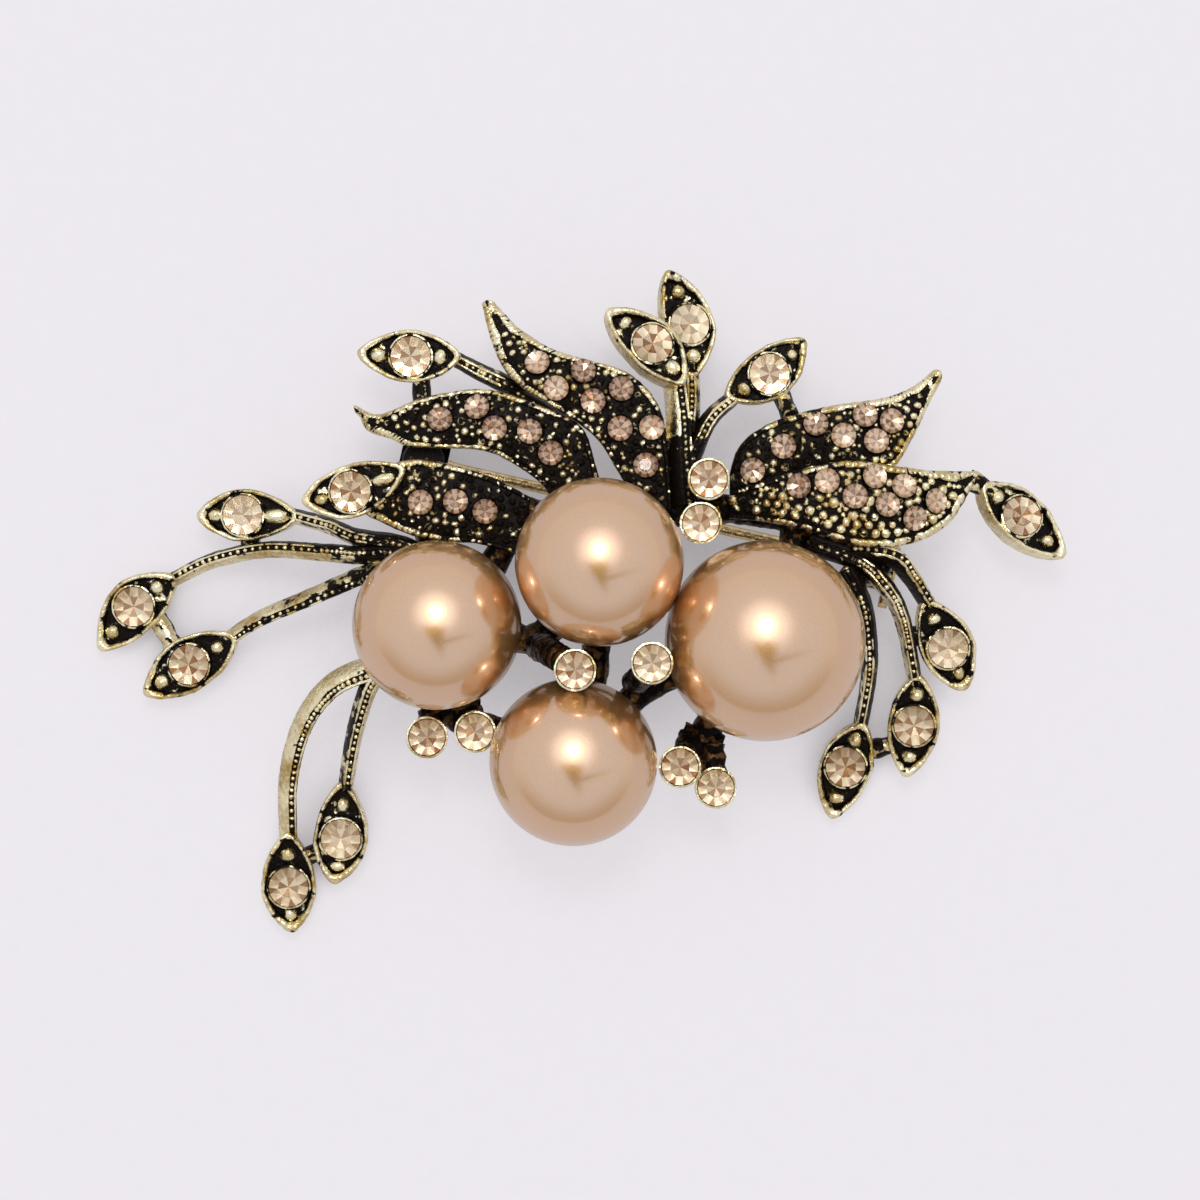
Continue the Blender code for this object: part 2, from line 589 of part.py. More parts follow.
def ear(side):
    """Hinge ear, wide at its base plate and narrower at its flat foot."""
    outline = [(-1.4, BASE_TOP - 0.3), (-1.2, 1.6), (-1.05, -0.5), (-0.75, -PIN_HEIGHT), (0.75, -PIN_HEIGHT),
               (1.05, -0.5), (1.2, 1.6), (1.4, BASE_TOP - 0.3)]
    data = bpy.data.curves.new("ear", "CURVE")
    data.dimensions = "2D"
    data.fill_mode = "BOTH"
    data.extrude = EAR_THICK / 2 * MM
    spline = data.splines.new("POLY")
    spline.points.add(len(outline) - 1)
    for point, (x, z) in zip(spline.points, outline):
        point.co = (x * MM, z * MM, 0, 1)
    spline.use_cyclic_u = True
    shape = add("ear_shape", data)
    offset = side * (EAR_GAP + EAR_THICK) / 2
    shape.matrix_basis = Matrix.Translation((0, offset * MM, 0)) @ Matrix.Rotation(math.pi / 2, 4, "X")
    return add("ear", baked(shape, "ear"))


def base_plate():
    return box((-1.7, -1.6, BASE_TOP - BASE_THICK), (1.7, 1.6, BASE_TOP))


def wire(points, radius):
    """Round wire along X with a radius factor at each point."""
    data = bpy.data.curves.new("wire", "CURVE")
    data.dimensions = "3D"
    data.bevel_depth = radius * MM
    data.bevel_resolution = 3
    data.use_fill_caps = True
    spline = data.splines.new("POLY")
    spline.points.add(len(points) - 1)
    for point, (x, factor) in zip(spline.points, points):
        point.co = (x * MM, 0, 0, 1)
        point.radius = factor
    return add("wire", baked(add("wire_path", data), "wire"))


def joint_empty(name, place):
    """Empty on a joint's axis, with its X along the pin."""
    empty = bpy.data.objects.new(name, None)
    parts.objects.link(empty)
    empty.location = Vector((*place, PIN_HEIGHT)) * MM
    empty.rotation_euler.z = PIN_HEADING
    return empty


def build_hinge(axis):
    hole = rod("Y", (0, 0), RIVET_RADIUS + RUN_GAP, -3, 3)
    mesh = combine("hinge_base", base_plate(), [ear(1), ear(-1)], [hole])
    add("hinge_base", mesh, ANTIQUE_GOLD, parent=axis)

    outer = EAR_GAP / 2 + EAR_THICK
    head = outer + RUN_GAP
    heads = [rod("Y", (0, 0), 0.68, head, head + 0.3), rod("Y", (0, 0), 0.68, -head - 0.3, -head)]
    shank = rod("Y", (0, 0), RIVET_RADIUS, -head - 0.1, head + 0.1)
    add("hinge_rivet", combine("hinge_rivet", shank, heads), PIN_STEEL, parent=axis)


def build_pin(axis):
    """Pin stem with an eye on the rivet, a shoulder and a ground point."""
    half = EAR_GAP / 2 - RUN_GAP
    eye = rod("Y", (0, 0), EYE_RADIUS, -half, half)
    tip = PIN_LENGTH + PIN_PAST_CATCH
    stem = wire([(0.7, 1.2), (2.4, 1.0), (tip - 5.0, 1.0), (tip - 1.5, 0.5), (tip, 0.12)], PIN_RADIUS)
    hole = rod("Y", (0, 0), RIVET_RADIUS + RUN_GAP, -2, 2)
    add("pin_stem", combine("pin_stem", eye, [stem], [hole]), PIN_STEEL, parent=axis)


def build_catch(axis):
    """Catch with a C-shaped ring open downward, and the slotted barrel that turns in it."""
    half = RING_WIDTH / 2
    neck = box((-half + 0.1, -0.75, RING_INNER + 0.2), (half - 0.1, 0.75, BASE_TOP - 0.2))
    ring = rod("X", (0, 0), RING_OUTER, -half, half, 20)
    bore = rod("X", (0, 0), RING_INNER, -3, 3, 20)
    mouth = box((-3, -SLOT / 2, -4), (3, SLOT / 2, 0))
    casting = combine("catch_base", base_plate(), [neck, ring], [bore, mouth])
    add("catch_base", casting, ANTIQUE_GOLD, parent=axis)

    face = half + RUN_GAP
    barrel = rod("X", (0, 0), RING_INNER - RUN_GAP, -half - 0.1, face + 0.4, 20)
    flange = rod("X", (0, 0), 1.55, face, face + 0.75, 20)
    lever = box((face + 0.1, -TAB_REACH + 0.6, -0.42), (face + 0.6, -1.0, 0.42))
    thumb = rod("X", (-TAB_REACH + 0.6, 0), 0.6, face + 0.05, face + 0.7, 16)
    bore = rod("X", (0, 0), BARREL_BORE, -4, 4, 16)
    mouth = box((-4, -SLOT / 2, -4), (4, SLOT / 2, 0))
    mesh = combine("catch_lock", barrel, [flange, lever, thumb], [bore, mouth])
    add("catch_lock", mesh, PIN_STEEL, parent=axis)


build_trellis()
build_leaves()
build_sprigs()
build_collets()
build_stones()
build_pearls()
hinge_axis = joint_empty("hinge_axis", HINGE)
catch_axis = joint_empty("catch_axis", CATCH)
build_hinge(hinge_axis)
build_pin(hinge_axis)
build_catch(catch_axis)
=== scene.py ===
"""Looks of the pearl spray brooch: antique gold castings set with stones, coated pearls and gilt pin work."""
import json
import math
import random
from collections import namedtuple

import bmesh
import bpy
from mathutils import Matrix, Vector, noise

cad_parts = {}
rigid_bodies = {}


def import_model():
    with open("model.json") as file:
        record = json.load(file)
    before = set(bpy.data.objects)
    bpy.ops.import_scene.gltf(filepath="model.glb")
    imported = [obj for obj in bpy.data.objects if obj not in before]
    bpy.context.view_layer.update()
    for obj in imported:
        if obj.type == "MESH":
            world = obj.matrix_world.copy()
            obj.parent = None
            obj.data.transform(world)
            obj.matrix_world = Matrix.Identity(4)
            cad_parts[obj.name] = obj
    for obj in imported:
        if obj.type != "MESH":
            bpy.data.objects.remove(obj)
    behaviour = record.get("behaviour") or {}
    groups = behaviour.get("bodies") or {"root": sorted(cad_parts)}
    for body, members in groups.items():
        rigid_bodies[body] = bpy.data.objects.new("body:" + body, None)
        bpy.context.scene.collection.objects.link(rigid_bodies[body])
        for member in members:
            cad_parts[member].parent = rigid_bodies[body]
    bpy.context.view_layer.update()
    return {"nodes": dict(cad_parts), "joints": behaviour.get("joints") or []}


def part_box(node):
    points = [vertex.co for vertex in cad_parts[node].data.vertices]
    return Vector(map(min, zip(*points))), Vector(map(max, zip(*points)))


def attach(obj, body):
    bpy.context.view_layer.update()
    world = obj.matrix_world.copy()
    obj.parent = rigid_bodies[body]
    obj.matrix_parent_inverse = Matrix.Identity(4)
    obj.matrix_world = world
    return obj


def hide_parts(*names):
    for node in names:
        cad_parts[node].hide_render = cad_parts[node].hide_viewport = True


MM = 0.001
UP = Vector((0, 0, 1))

# Camera straight above the brooch, in millimetres
CAMERA_PLACE = (1.34, 0.18, 450.0)
CAMERA_LENS = 185.57
SENSOR_WIDTH = 36.0

# Lamp: direction from the brooch, distance and size in metres, power in watts, glow of the dome round it
LAMP_DIRECTION = (0.0, 0.30, 0.954)
LAMP_DISTANCE = 1.2
LAMP_SIZE = 0.30
LAMP_POWER = 3.6
GLOW = 0.9

# Floor: half its side and the reach of its painted contact shade in metres, shares of its own light,
# which cast shadows don't dim but the painted contact shade does
FLOOR_HALF = 1.5
PAINTED_SHADE_REACH = 0.016
PAPER_GLOW = 0.76
# Shiny surfaces see less of the floor's own light: painted shade, for the floor that the brooch shades near
# the pearls
MIRROR_GLOW = 0.55      # as shiny surfaces see it

# Sizes in millimetres, with a few shares and counts among them
CUP_STONE = 1.44
COLLET_STONE = 1.30
PAVE_STONE = 0.90
SEAT_GAP = 0.06
CUP_HEIGHT = 1.9
CUP_FLOOR = 0.55
CUP_BEAD = 0.62
CUP_SIDES = 64
COLLAR = 0.2
WEDGE_CUPS = (2, 3)     # cups with a long smooth grain at the inner end
WEDGE_STRETCH = 1.8
TIP_ROUND = 0.42        # half width of a cup's blunt tips
COLLET_RADIUS = 1.5
COLLET_HEIGHT = 1.9
STEM_WIDTH = 1.5
STEM_HEIGHT = 1.4
STEM_TAPER = 0.28       # share of its width that a stem loses toward its cup
STEM_SINK = 0.58        # share of its height that a stem has left under its cup
SINK_REACH = 1.2        # length over which a stem's far end sinks
STEM_BARE = 1.1         # length without grains at a stem's far end
# A stem with this dark share is painted dark all along: patina with painted shade
ALL_DARK = 50.0         # dark share of a stem that hardly brightens along its length
LINK_WIDTH = 1.35
LINK_HEIGHT = 1.1
LEAF_THICKNESS = 1.1
LEAF_CROWN = 0.5
LEAF_WIDEST = 6.0
LEAF_STEP = 0.09        # from one ring of a leaf's skin to the next
PIT_DEPTH = 0.75        # of the pits that a leaf's stones sit in
PIT_WALL = 0.35
LEAF_RIM = 0.55         # reach of the rim in from the leaf's edge
LEAF_TIP = 0.82         # share of a leaf's length where its rim starts to fill the tip
MILGRAIN_PITCH = 0.44
MILGRAIN_RADIUS = 0.215
STONE_LIFT = 0.1        # of a leaf's stones above its floor
STONE_DROOP = 0.35      # share of a cup's droop that its stone has
STONE_TILT = 0.18       # slope by which a leaf's stone may stand askew
GIRDLE_BAND = 0.08
RAIL_WIDTH = 2.1
RAIL_HEIGHT = 1.3
PAD_RADIUS = 3.0
PAD_BACK = 6.4
PEG_RADIUS = 0.5
PEG_LENGTH = 3.0
STALK_SIDES = 20
STALK_RIDGE = 0.6       # from one ridge of a stalk to the next
PEARL_ROWS = 48
PEARL_SIDES = 96
DRILL_RADIUS = 0.62
DRILL_DEPTH = 3.6
FRAME_TOP = 7.7
LAP = FRAME_TOP + SEAT_GAP      # underside of what lies on the trellis
PIN_RADIUS = 0.4
PIN_PAST_CATCH = 2.6
EYE_RADIUS = 1.05
EYE_HOLE = 0.46
EYE_WIDTH = 0.94
EDGE_ROUND = 0.07
ROUND_SIDES = 40        # of most turned shapes
SHARP_ANGLE = 48        # degrees, above which an edge of a casting stays sharp
SKIN_GRAIN = 2300       # features per metre of a casting's uneven skin

PEARLS = ("left", "top", "right", "bottom")

# Collets between and beside the pearls: centre of the rim, then the stalk's radius and points
COLLETS = [
    ((9.04, 8.75, 12.2), 0.55, [(9.7, 7.1, 7.0)]),
    ((8.48, 5.65, 12.0), 0.55, [(9.7, 6.2, 7.0)]),
    ((-0.41, -4.73, 16.9), 0.9, [(-3.0, -3.1, 6.6), (-2.4, -3.4, 11.5), (-1.2, -4.1, 14.1)]),
    ((4.98, -4.23, 17.5), 0.8, [(3.9, -5.7, 6.2), (4.3, -5.2, 11.0)]),
    ((-10.97, -9.6, 9.8), 0.85, [(-10.7, -8.0, 6.2)]),
    ((-7.55, -9.2, 10.0), 0.85, [(-8.0, -7.9, 6.2)]),
    ((7.02, -11.67, 11.2), 0.85, [(7.9, -9.8, 6.1)]),
    ((9.6, -13.2, 9.2), 0.85, [(9.3, -10.3, 6.1)]),
]

# Marquise cups: stone centre on the rim plane, outward heading, droop and roll in degrees,
# reach outward and inward, half width, bow of the cup's length
Cup = namedtuple("Cup", "place heading droop roll reach_out reach_in half_width bow")
CUPS = {
    1: Cup((-12.2, 17.6, 7.8), 178, 4, 0, 3.9, 3.6, 1.90, 0.1),
    2: Cup((-16.4, 7.9, 10.3), -162, 4, 0, 3.6, 4.2, 1.90, 0.35),
    3: Cup((-24.4, 6.3, 4.6), 179, 8, 0, 3.4, 4.1, 1.90, -0.1),
    4: Cup((-32.4, -0.3, 2.5), -136, 8, 0, 4.1, 3.7, 2.0, -0.5),
    5: Cup((-28.4, -4.5, 2.9), -148, 8, 0, 4.0, 4.1, 2.0, -0.1),
    6: Cup((-17.4, -17.1, 2.9), -95, 8, 0, 3.4, 4.2, 2.0, 0.2),
    7: Cup((-21.2, -20.6, 2.4), -88, 8, 0, 3.4, 4.0, 2.0, -0.1),
    8: Cup((5.1, 18.5, 8.3), 136, 5, 18, 4.1, 3.7, 1.90, -0.5),
    9: Cup((7.8, 20.0, 5.7), 103, 5, 15, 4.2, 3.9, 1.90, -0.6),
    10: Cup((13.5, 16.4, 6.6), 36, 6, 0, 3.6, 3.6, 1.90, -0.45),
    11: Cup((31.6, 6.2, 6.4), -41, 8, -18, 4.38, 3.7, 1.90, 0.1),
    12: Cup((26.4, -3.3, 4.9), -65, 10, 0, 3.4, 4.0, 2.0, 0.15),
    13: Cup((24.0, -8.9, 3.6), -96, 10, 0, 3.9, 3.8, 1.90, 0.15),
    14: Cup((19.1, -11.9, 2.6), -108, 10, 0, 4.0, 3.5, 1.95, -0.2),
}

# Sprigs: their cups, their stems and their links. A stem has the sideways shift of its beaded line, the
# patina of its two walls, the share of its length that darkens toward the pearls (patina with painted shade,
# as under the pearls), its width and its underside. A link has its patina and its underside.
Stem = namedtuple("Stem", "lean walls dark width points")
Sprig = namedtuple("Sprig", "cups stems links")
SPRIGS = {
    "sprig_left": Sprig(
        cups=(3, 4, 5),
        stems=[
            Stem(0.1, (0.05, 0.7), 0.65, STEM_WIDTH, [
                (-11.4, 3.0, 7.26), (-13.6, 3.4, 7.2), (-16.1, 3.4, 6.6), (-18.6, 3.6, 5.8),
                (-22.8, 3.8, 4.1), (-26.7, 3.0, 2.6), (-29.5, 1.7, 1.55)]),
            Stem(0.0, (0.3, 0.95), 0.6, STEM_WIDTH, [
                (-11.4, 3.4, 7.26), (-13.2, 4.2, 7.2), (-16.1, 4.7, 6.3), (-18.1, 5.5, 5.2),
                (-20.9, 6.3, 3.7)]),
            Stem(-0.25, (0.35, 0.0), 0.9, STEM_WIDTH, [
                (-11.4, 2.6, 7.26), (-13.4, 2.7, 7.2), (-15.6, 2.0, 6.5), (-19.2, 0.5, 5.1),
                (-23.1, -1.1, 3.2), (-25.4, -2.5, 2.0)]),
        ],
        links=[
            (0.6, [(-23.9, 4.75, 2.9), (-23.9, 3.6, 3.6)]),
            (0.1, [(-30.8, -1.1, 0.95), (-29.5, -3.3, 1.25)]),
        ],
    ),
    "sprig_lower_left": Sprig(
        cups=(6, 7),
        stems=[
            Stem(-0.27, (1.0, 0.0), 0.1, 1.8, [
                (-14.2, -4.4, 7.16), (-17.2, -5.5, 6.4), (-19.1, -7.2, 5.4), (-20.45, -9.7, 4.0),
                (-21.25, -13.2, 2.4), (-21.25, -17.2, 1.45)]),
            Stem(-0.15, (0.2, 0.75), 0.1, STEM_WIDTH, [
                (-14.2, -4.7, 7.16), (-15.3, -6.2, 6.6), (-16.4, -9.7, 4.3), (-17.1, -13.5, 1.95)]),
        ],
        links=[(0.5, [(-19.0, -18.0, 1.2), (-19.8, -18.4, 1.0)])],
    ),
    "sprig_top": Sprig(
        cups=(8, 9, 10),
        stems=[
            Stem(0.27, (0.2, 0.35), 0.75, 2.1, [
                (7.2, 7.0, LAP), (7.0, 10.2, LAP), (6.9, 13.1, 7.4), (6.6, 15.9, 6.85)]),
            Stem(0.0, (0.8, 0.5), 0.3, STEM_WIDTH, [(7.6, 11.6, 7.3), (7.9, 14.2, 5.8), (7.9, 16.9, 4.45)]),
            Stem(0.1, (0.8, 0.75), 0.5, STEM_WIDTH, [(7.7, 10.0, LAP), (9.1, 13.0, 6.8), (11.0, 14.8, 5.4)]),
        ],
        links=[(0.5, [(14.4, 14.9, 4.9), (15.1, 13.0, 6.9)])],
    ),
    "sprig_right": Sprig(
        cups=(12, 13, 14),
        stems=[
            Stem(0.0, (1.0, 0.4), 0.4, STEM_WIDTH, [
                (16.2, 4.2, LAP), (19.9, 2.9, LAP), (21.6, 1.3, 7.95), (22.6, -0.2, 6.8),
                (23.3, -2.1, 5.2), (24.1, -5.7, 2.85)]),
            Stem(-0.25, (0.2, 1.0), 0.2, STEM_WIDTH, [
                (19.4, 3.5, LAP), (22.1, 3.2, 7.95), (23.4, 2.0, 6.6), (24.9, -0.1, 4.1)]),
            Stem(0.05, (0.9, 0.7), 0.8, STEM_WIDTH, [
                (19.0, 2.4, 7.85), (19.6, 1.2, 7.85), (20.3, -0.6, 7.0), (20.7, -3.2, 5.2),
                (20.7, -5.6, 3.6), (20.2, -9.0, 1.75)]),
        ],
        links=[
            (0.5, [(20.6, -10.8, 1.1), (22.5, -10.3, 1.5)]),
            (0.8, [(23.4, -2.3, 4.4), (24.9, -2.6, 3.5)]),
        ],
    ),
}

# Leaves: two edges from base to tip, height of the floor along the leaf, set stones as shares along and
# across, the radius of the grains, how far apart they lie in radii and how dark they may be, then the cup
# that the leaf may carry and the stems and links that join it on
Leaf = namedtuple("Leaf", "left right heights stones grain apart stained cups stems links",
                  defaults=((), (), ()))
LEAVES = {
    "leaf_left_low": Leaf(
        [(-3.6, 7.5), (-5.6, 8.6), (-7.6, 9.4), (-10.1, 10.05), (-12.4, 10.2), (-14.7, 9.3), (-16.5, 7.9)],
        [(-4.3, 3.4), (-7.5, 4.2), (-9.5, 4.3), (-11.8, 4.7), (-13.8, 5.5), (-15.6, 6.4), (-16.7, 7.2)],
        (8.86, 8.86, 8.86, 8.86, 8.86, 8.7, 8.6),
        [(0.53, 0.56), (0.37, 0.46), (0.19, 0.5)],
        grain=0.28, apart=2.0, stained=0.85, cups=(2,),
    ),
    "leaf_left_mid": Leaf(
        [(2.2, 6.5), (1.2, 9.2), (0.1, 12.4), (-2.8, 14.0), (-6.7, 15.2), (-11.1, 14.7), (-14.4, 13.5),
         (-16.1, 14.1)],
        [(-1.4, 5.9), (-2.7, 8.3), (-5.2, 10.1), (-7.4, 10.9), (-12.0, 11.1), (-13.6, 11.7), (-15.3, 12.3),
         (-15.8, 13.2)],
        (8.86, 8.86, 8.86, 8.86, 8.8, 8.0, 7.0, 6.6),
        [(0.59, 0.55), (0.54, 0.3), (0.46, 0.55), (0.37, 0.45), (0.25, 0.53)],
        grain=0.29, apart=1.9, stained=0.75, cups=(1,),
        stems=[
            Stem(0.0, (0.8, 0.8), 0.4, STEM_WIDTH, [
                (-4.3, 15.2, 6.0), (-7.0, 16.4, 6.2), (-9.1, 17.5, 6.35)]),
            Stem(0.0, (0.8, 0.8), ALL_DARK, STEM_WIDTH, [
                (-0.6, 12.3, 6.2), (-3.2, 14.1, 6.2), (-5.2, 15.4, 6.1)]),
        ],
        links=[(0.7, [(-11.5, 16.4, 6.2), (-11.4, 14.0, 6.9)])],
    ),
    "leaf_top": Leaf(
        [(4.2, 6.5), (2.7, 9.2), (0.9, 11.9), (-2.4, 14.2), (-4.2, 15.3), (-5.6, 16.8), (-6.5, 18.9),
         (-7.05, 21.1)],
        [(6.5, 6.5), (6.2, 10.9), (5.5, 14.1), (3.3, 16.4), (-0.2, 17.5), (-2.2, 18.2), (-4.4, 19.6),
         (-6.05, 21.3)],
        (8.86, 8.86, 8.9, 8.8, 8.5, 8.0, 7.5, 7.6),
        [(0.65, 0.53), (0.48, 0.27), (0.5, 0.72), (0.38, 0.4), (0.38, 0.75), (0.27, 0.36), (0.23, 0.78),
         (0.13, 0.52)],
        grain=0.29, apart=1.85, stained=0.7,
    ),
    "leaf_right_high": Leaf(
        [(10.6, 9.3), (11.4, 11.3), (13.7, 12.9), (17.7, 14.0), (21.0, 14.5), (22.8, 15.0), (24.1, 15.7),
         (25.05, 16.5)],
        [(10.6, 7.5), (12.2, 8.1), (15.6, 9.1), (19.1, 9.7), (22.0, 9.4), (23.6, 11.6), (24.9, 14.2),
         (25.75, 15.9)],
        (8.86, 8.86, 8.9, 8.8, 8.4, 8.0, 7.6, 7.6),
        [(0.16, 0.62), (0.28, 0.46), (0.38, 0.25), (0.44, 0.49), (0.52, 0.21), (0.54, 0.57), (0.62, 0.37)],
        grain=0.29, apart=1.85, stained=0.7,
    ),
    "leaf_right_low": Leaf(
        [(10.6, 8.0), (12.2, 8.4), (15.5, 9.4), (19.1, 10.1), (22.6, 9.7), (25.3, 9.4), (28.2, 9.4)],
        [(10.6, 6.0), (12.7, 5.8), (15.9, 5.2), (19.9, 4.0), (23.5, 4.2), (26.3, 5.7), (28.3, 8.9)],
        (8.86, 9.5, 10.3, 10.4, 9.6, 8.6, 7.4),
        [(0.33, 0.27), (0.42, 0.23), (0.5, 0.42), (0.57, 0.18), (0.6, 0.5), (0.67, 0.27), (0.69, 0.68),
         (0.79, 0.52)],
        grain=0.36, apart=1.6, stained=0.35, cups=(11,),
        links=[(0.4, [(27.7, 8.9, 6.4), (29.6, 7.9, 5.4)])],
    ),
}

# Rails of the trellis, by their undersides
RAILS = [
    [(-11.3, 9.6, 6.4), (-7.2, 7.6, 6.4), (-2.6, 6.2, 6.4), (1.4, 5.7, 6.4), (7.8, 6.6, 6.4),
     (11.7, 6.6, 6.4), (16.0, 5.6, 6.4), (20.7, 3.0, 6.4)],
    [(-11.2, 9.6, 6.4), (-10.9, 5.0, 6.2), (-10.4, 1.0, 5.7)],
    [(1.55, 5.2, 6.46), (1.3, 2.8, 6.46)],
    [(-7.6, -0.7, 5.7), (-3.4, -2.6, 6.0), (1.2, 2.2, 6.4)],
    [(-0.4, -8.7, 5.15), (0.9, -4.9, 5.6), (1.3, 2.6, 6.4)],
    [(1.5, -9.6, 5.15), (4.4, -6.3, 5.4), (10.2, -3.7, 5.45)],
    [(-9.9, -4.2, 5.7), (-9.3, -7.9, 5.6), (-6.2, -9.2, 5.3), (-3.2, -10.5, 5.15)],
    [(-11.4, -8.0, 5.6), (-7.2, -7.8, 5.6)],
    [(11.4, -5.0, 5.45), (8.6, -9.8, 5.5)],
    [(7.2, -9.5, 5.5), (10.0, -10.5, 5.5)],
    [(15.1, -0.7, 5.45), (15.4, 2.6, 6.4), (15.2, 5.6, 6.4)],
    [(15.9, -2.1, 5.45), (17.2, -0.6, 5.9), (18.4, 0.6, 6.38), (20.6, 3.0, 6.4)],
    [(-11.6, 1.0, 5.68), (-13.3, 3.2, 5.72)],
    [(-12.8, -2.9, 5.65), (-14.5, -4.4, 5.65)],
    [(12.2, 6.7, 6.4), (14.6, 11.2, 6.4)],
    [(3.6, 1.7, 6.46), (10.3, -1.4, 5.45)],
    [(-8.4, 0.4, 5.7), (-6.6, 2.3, 6.42), (-4.2, 6.6, 6.46)],
]

for old in list(bpy.data.objects):
    bpy.data.objects.remove(old)
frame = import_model()
chance = random.Random(11)


def plug(tree, socket, value):
    """Links another node's output to an input, or sets the input's value."""
    if isinstance(value, bpy.types.NodeSocket):
        tree.links.new(value, socket)
    else:
        socket.default_value = value


def node(tree, kind, inputs=None, **settings):
    """Adds a shader node; an input is a value or another node's output."""
    made = tree.nodes.new(kind)
    for key, value in settings.items():
        setattr(made, key, value)
    for key, value in (inputs or {}).items():
        plug(tree, made.inputs[key], value)
    return made


def blank_material(name):
    """A new material, its node tree and its Principled shader."""
    made = bpy.data.materials.new(name)
    made.use_nodes = True
    return made, made.node_tree, made.node_tree.nodes["Principled BSDF"]


def feed(tree, shader, **sockets):
    """Links outputs or sets values on the shader, with underscores for spaces in the input's name."""
    for key, value in sockets.items():
        plug(tree, shader.inputs[key.replace("_", " ")], value)


def colour_mix(tree, share, first, second):
    """Mix of two colours, each a triple or another node's output."""
    made = node(tree, "ShaderNodeMix", {"Factor": share}, data_type="RGBA")
    for socket, value in ((made.inputs[6], first), (made.inputs[7], second)):
        plug(tree, socket, value if isinstance(value, bpy.types.NodeSocket) else (*value, 1.0))
    return made.outputs[2]


def remap(tree, value, low, high, to_low=0.0, to_high=1.0, smooth=False):
    made = node(tree, "ShaderNodeMapRange", {"Value": value, "From Min": low, "From Max": high,
                                             "To Min": to_low, "To Max": to_high})
    made.interpolation_type = "SMOOTHSTEP" if smooth else "LINEAR"
    return made.outputs["Result"]


def math_node(tree, operation, first, second):
    return node(tree, "ShaderNodeMath", {0: first, 1: second}, operation=operation).outputs[0]


def product(tree, first, *others):
    for other in others:
        first = math_node(tree, "MULTIPLY", first, other)
    return first


def noise_at(tree, scale, detail):
    """Noise fixed to the piece, with the scale in features per metre."""
    place = node(tree, "ShaderNodeTexCoord").outputs["Object"]
    inputs = {"Vector": place, "Scale": scale, "Detail": detail}
    return node(tree, "ShaderNodeTexNoise", inputs).outputs["Fac"]


def bump(tree, height, strength, distance):
    """Normal of a skin that the height raises, with the distance in metres."""
    inputs = {"Height": height, "Strength": strength, "Distance": distance}
    return node(tree, "ShaderNodeBump", inputs).outputs[0]


def antique_metal(name, bright, deep, patina, gold_roughness):
    """Plated metal with black patina: it follows the mesh's patina attribute, broken up by noise. On some
    parts that attribute also holds painted shade: toward the pearls, and at the foot of leaf walls, collets
    and links.
    """
    made, tree, shader = blank_material(name)
    stain = node(tree, "ShaderNodeAttribute", attribute_name="patina").outputs["Fac"]
    blotch = noise_at(tree, 1300.0, 5.0)
    grain = noise_at(tree, 3000.0, 3.0)
    wear = noise_at(tree, 420.0, 3.0)
    spread = math_node(tree, "ADD", stain, remap(tree, blotch, 0.3, 0.7, -0.52, 0.52))
    mask = remap(tree, spread, 0.42, 0.6, smooth=True)
    tone = math_node(tree, "ADD", remap(tree, wear, 0.35, 0.65), remap(tree, grain, 0.35, 0.65, -0.2, 0.2))
    plate = colour_mix(tree, remap(tree, tone, 0.25, 1.15), bright, deep)
    feed(tree, shader,
         Base_Color=colour_mix(tree, mask, plate, patina),
         Metallic=remap(tree, mask, 0.0, 1.0, 1.0, 0.0),
         Roughness=math_node(tree, "ADD", remap(tree, grain, 0.3, 0.7, gold_roughness, gold_roughness + 0.12),
                             remap(tree, mask, 0.0, 1.0, 0.0, 0.06)),
         Specular_IOR_Level=0.06,
         Normal=bump(tree, grain, 0.8, 0.00014))
    return made


def pearl_coat():
    """Champagne pearl: a deep bronze body, with a pale lustre from the lacquer over it."""
    made, tree, shader = blank_material("pearl_coat")
    flake = noise_at(tree, 9000.0, 1.0)
    cloud = noise_at(tree, 160.0, 3.0)
    body = colour_mix(tree, remap(tree, flake, 0.3, 0.7), (0.68, 0.36, 0.125), (0.75, 0.405, 0.15))
    tint = colour_mix(tree, remap(tree, cloud, 0.35, 0.65, 0.0, 0.35), body, (0.67, 0.355, 0.115))
    feed(tree, shader, Base_Color=tint, Metallic=0.8, Coat_Weight=1.0, Coat_Roughness=0.09, Coat_IOR=3.0,
         Roughness=remap(tree, flake, 0.3, 0.7, 0.28, 0.36),
         Normal=bump(tree, cloud, 0.05, 0.0001))
    return made


def crystal(name, tint):
    made, tree, shader = blank_material(name)
    haze = noise_at(tree, 1500.0, 2.0)
    feed(tree, shader, Base_Color=(*tint, 1.0), Transmission_Weight=1.0, IOR=1.4,
         Roughness=remap(tree, haze, 0.4, 0.75, 0.0, 0.05))
    return made


def foil(name, bright, deep):
    """Foil behind a stone: half mirror, half satin, with a painted tone on each facet: painted pale and dark
    facets that stand in for the stone's sparkle of reflected light.
    """
    made, tree, shader = blank_material(name)
    tone = node(tree, "ShaderNodeAttribute", attribute_name="tone").outputs["Fac"]
    stain = noise_at(tree, 700.0, 3.0)
    feed(tree, shader, Base_Color=colour_mix(tree, tone, bright, deep), Metallic=0.65,
         Roughness=remap(tree, stain, 0.3, 0.7, 0.1, 0.2))
    return made


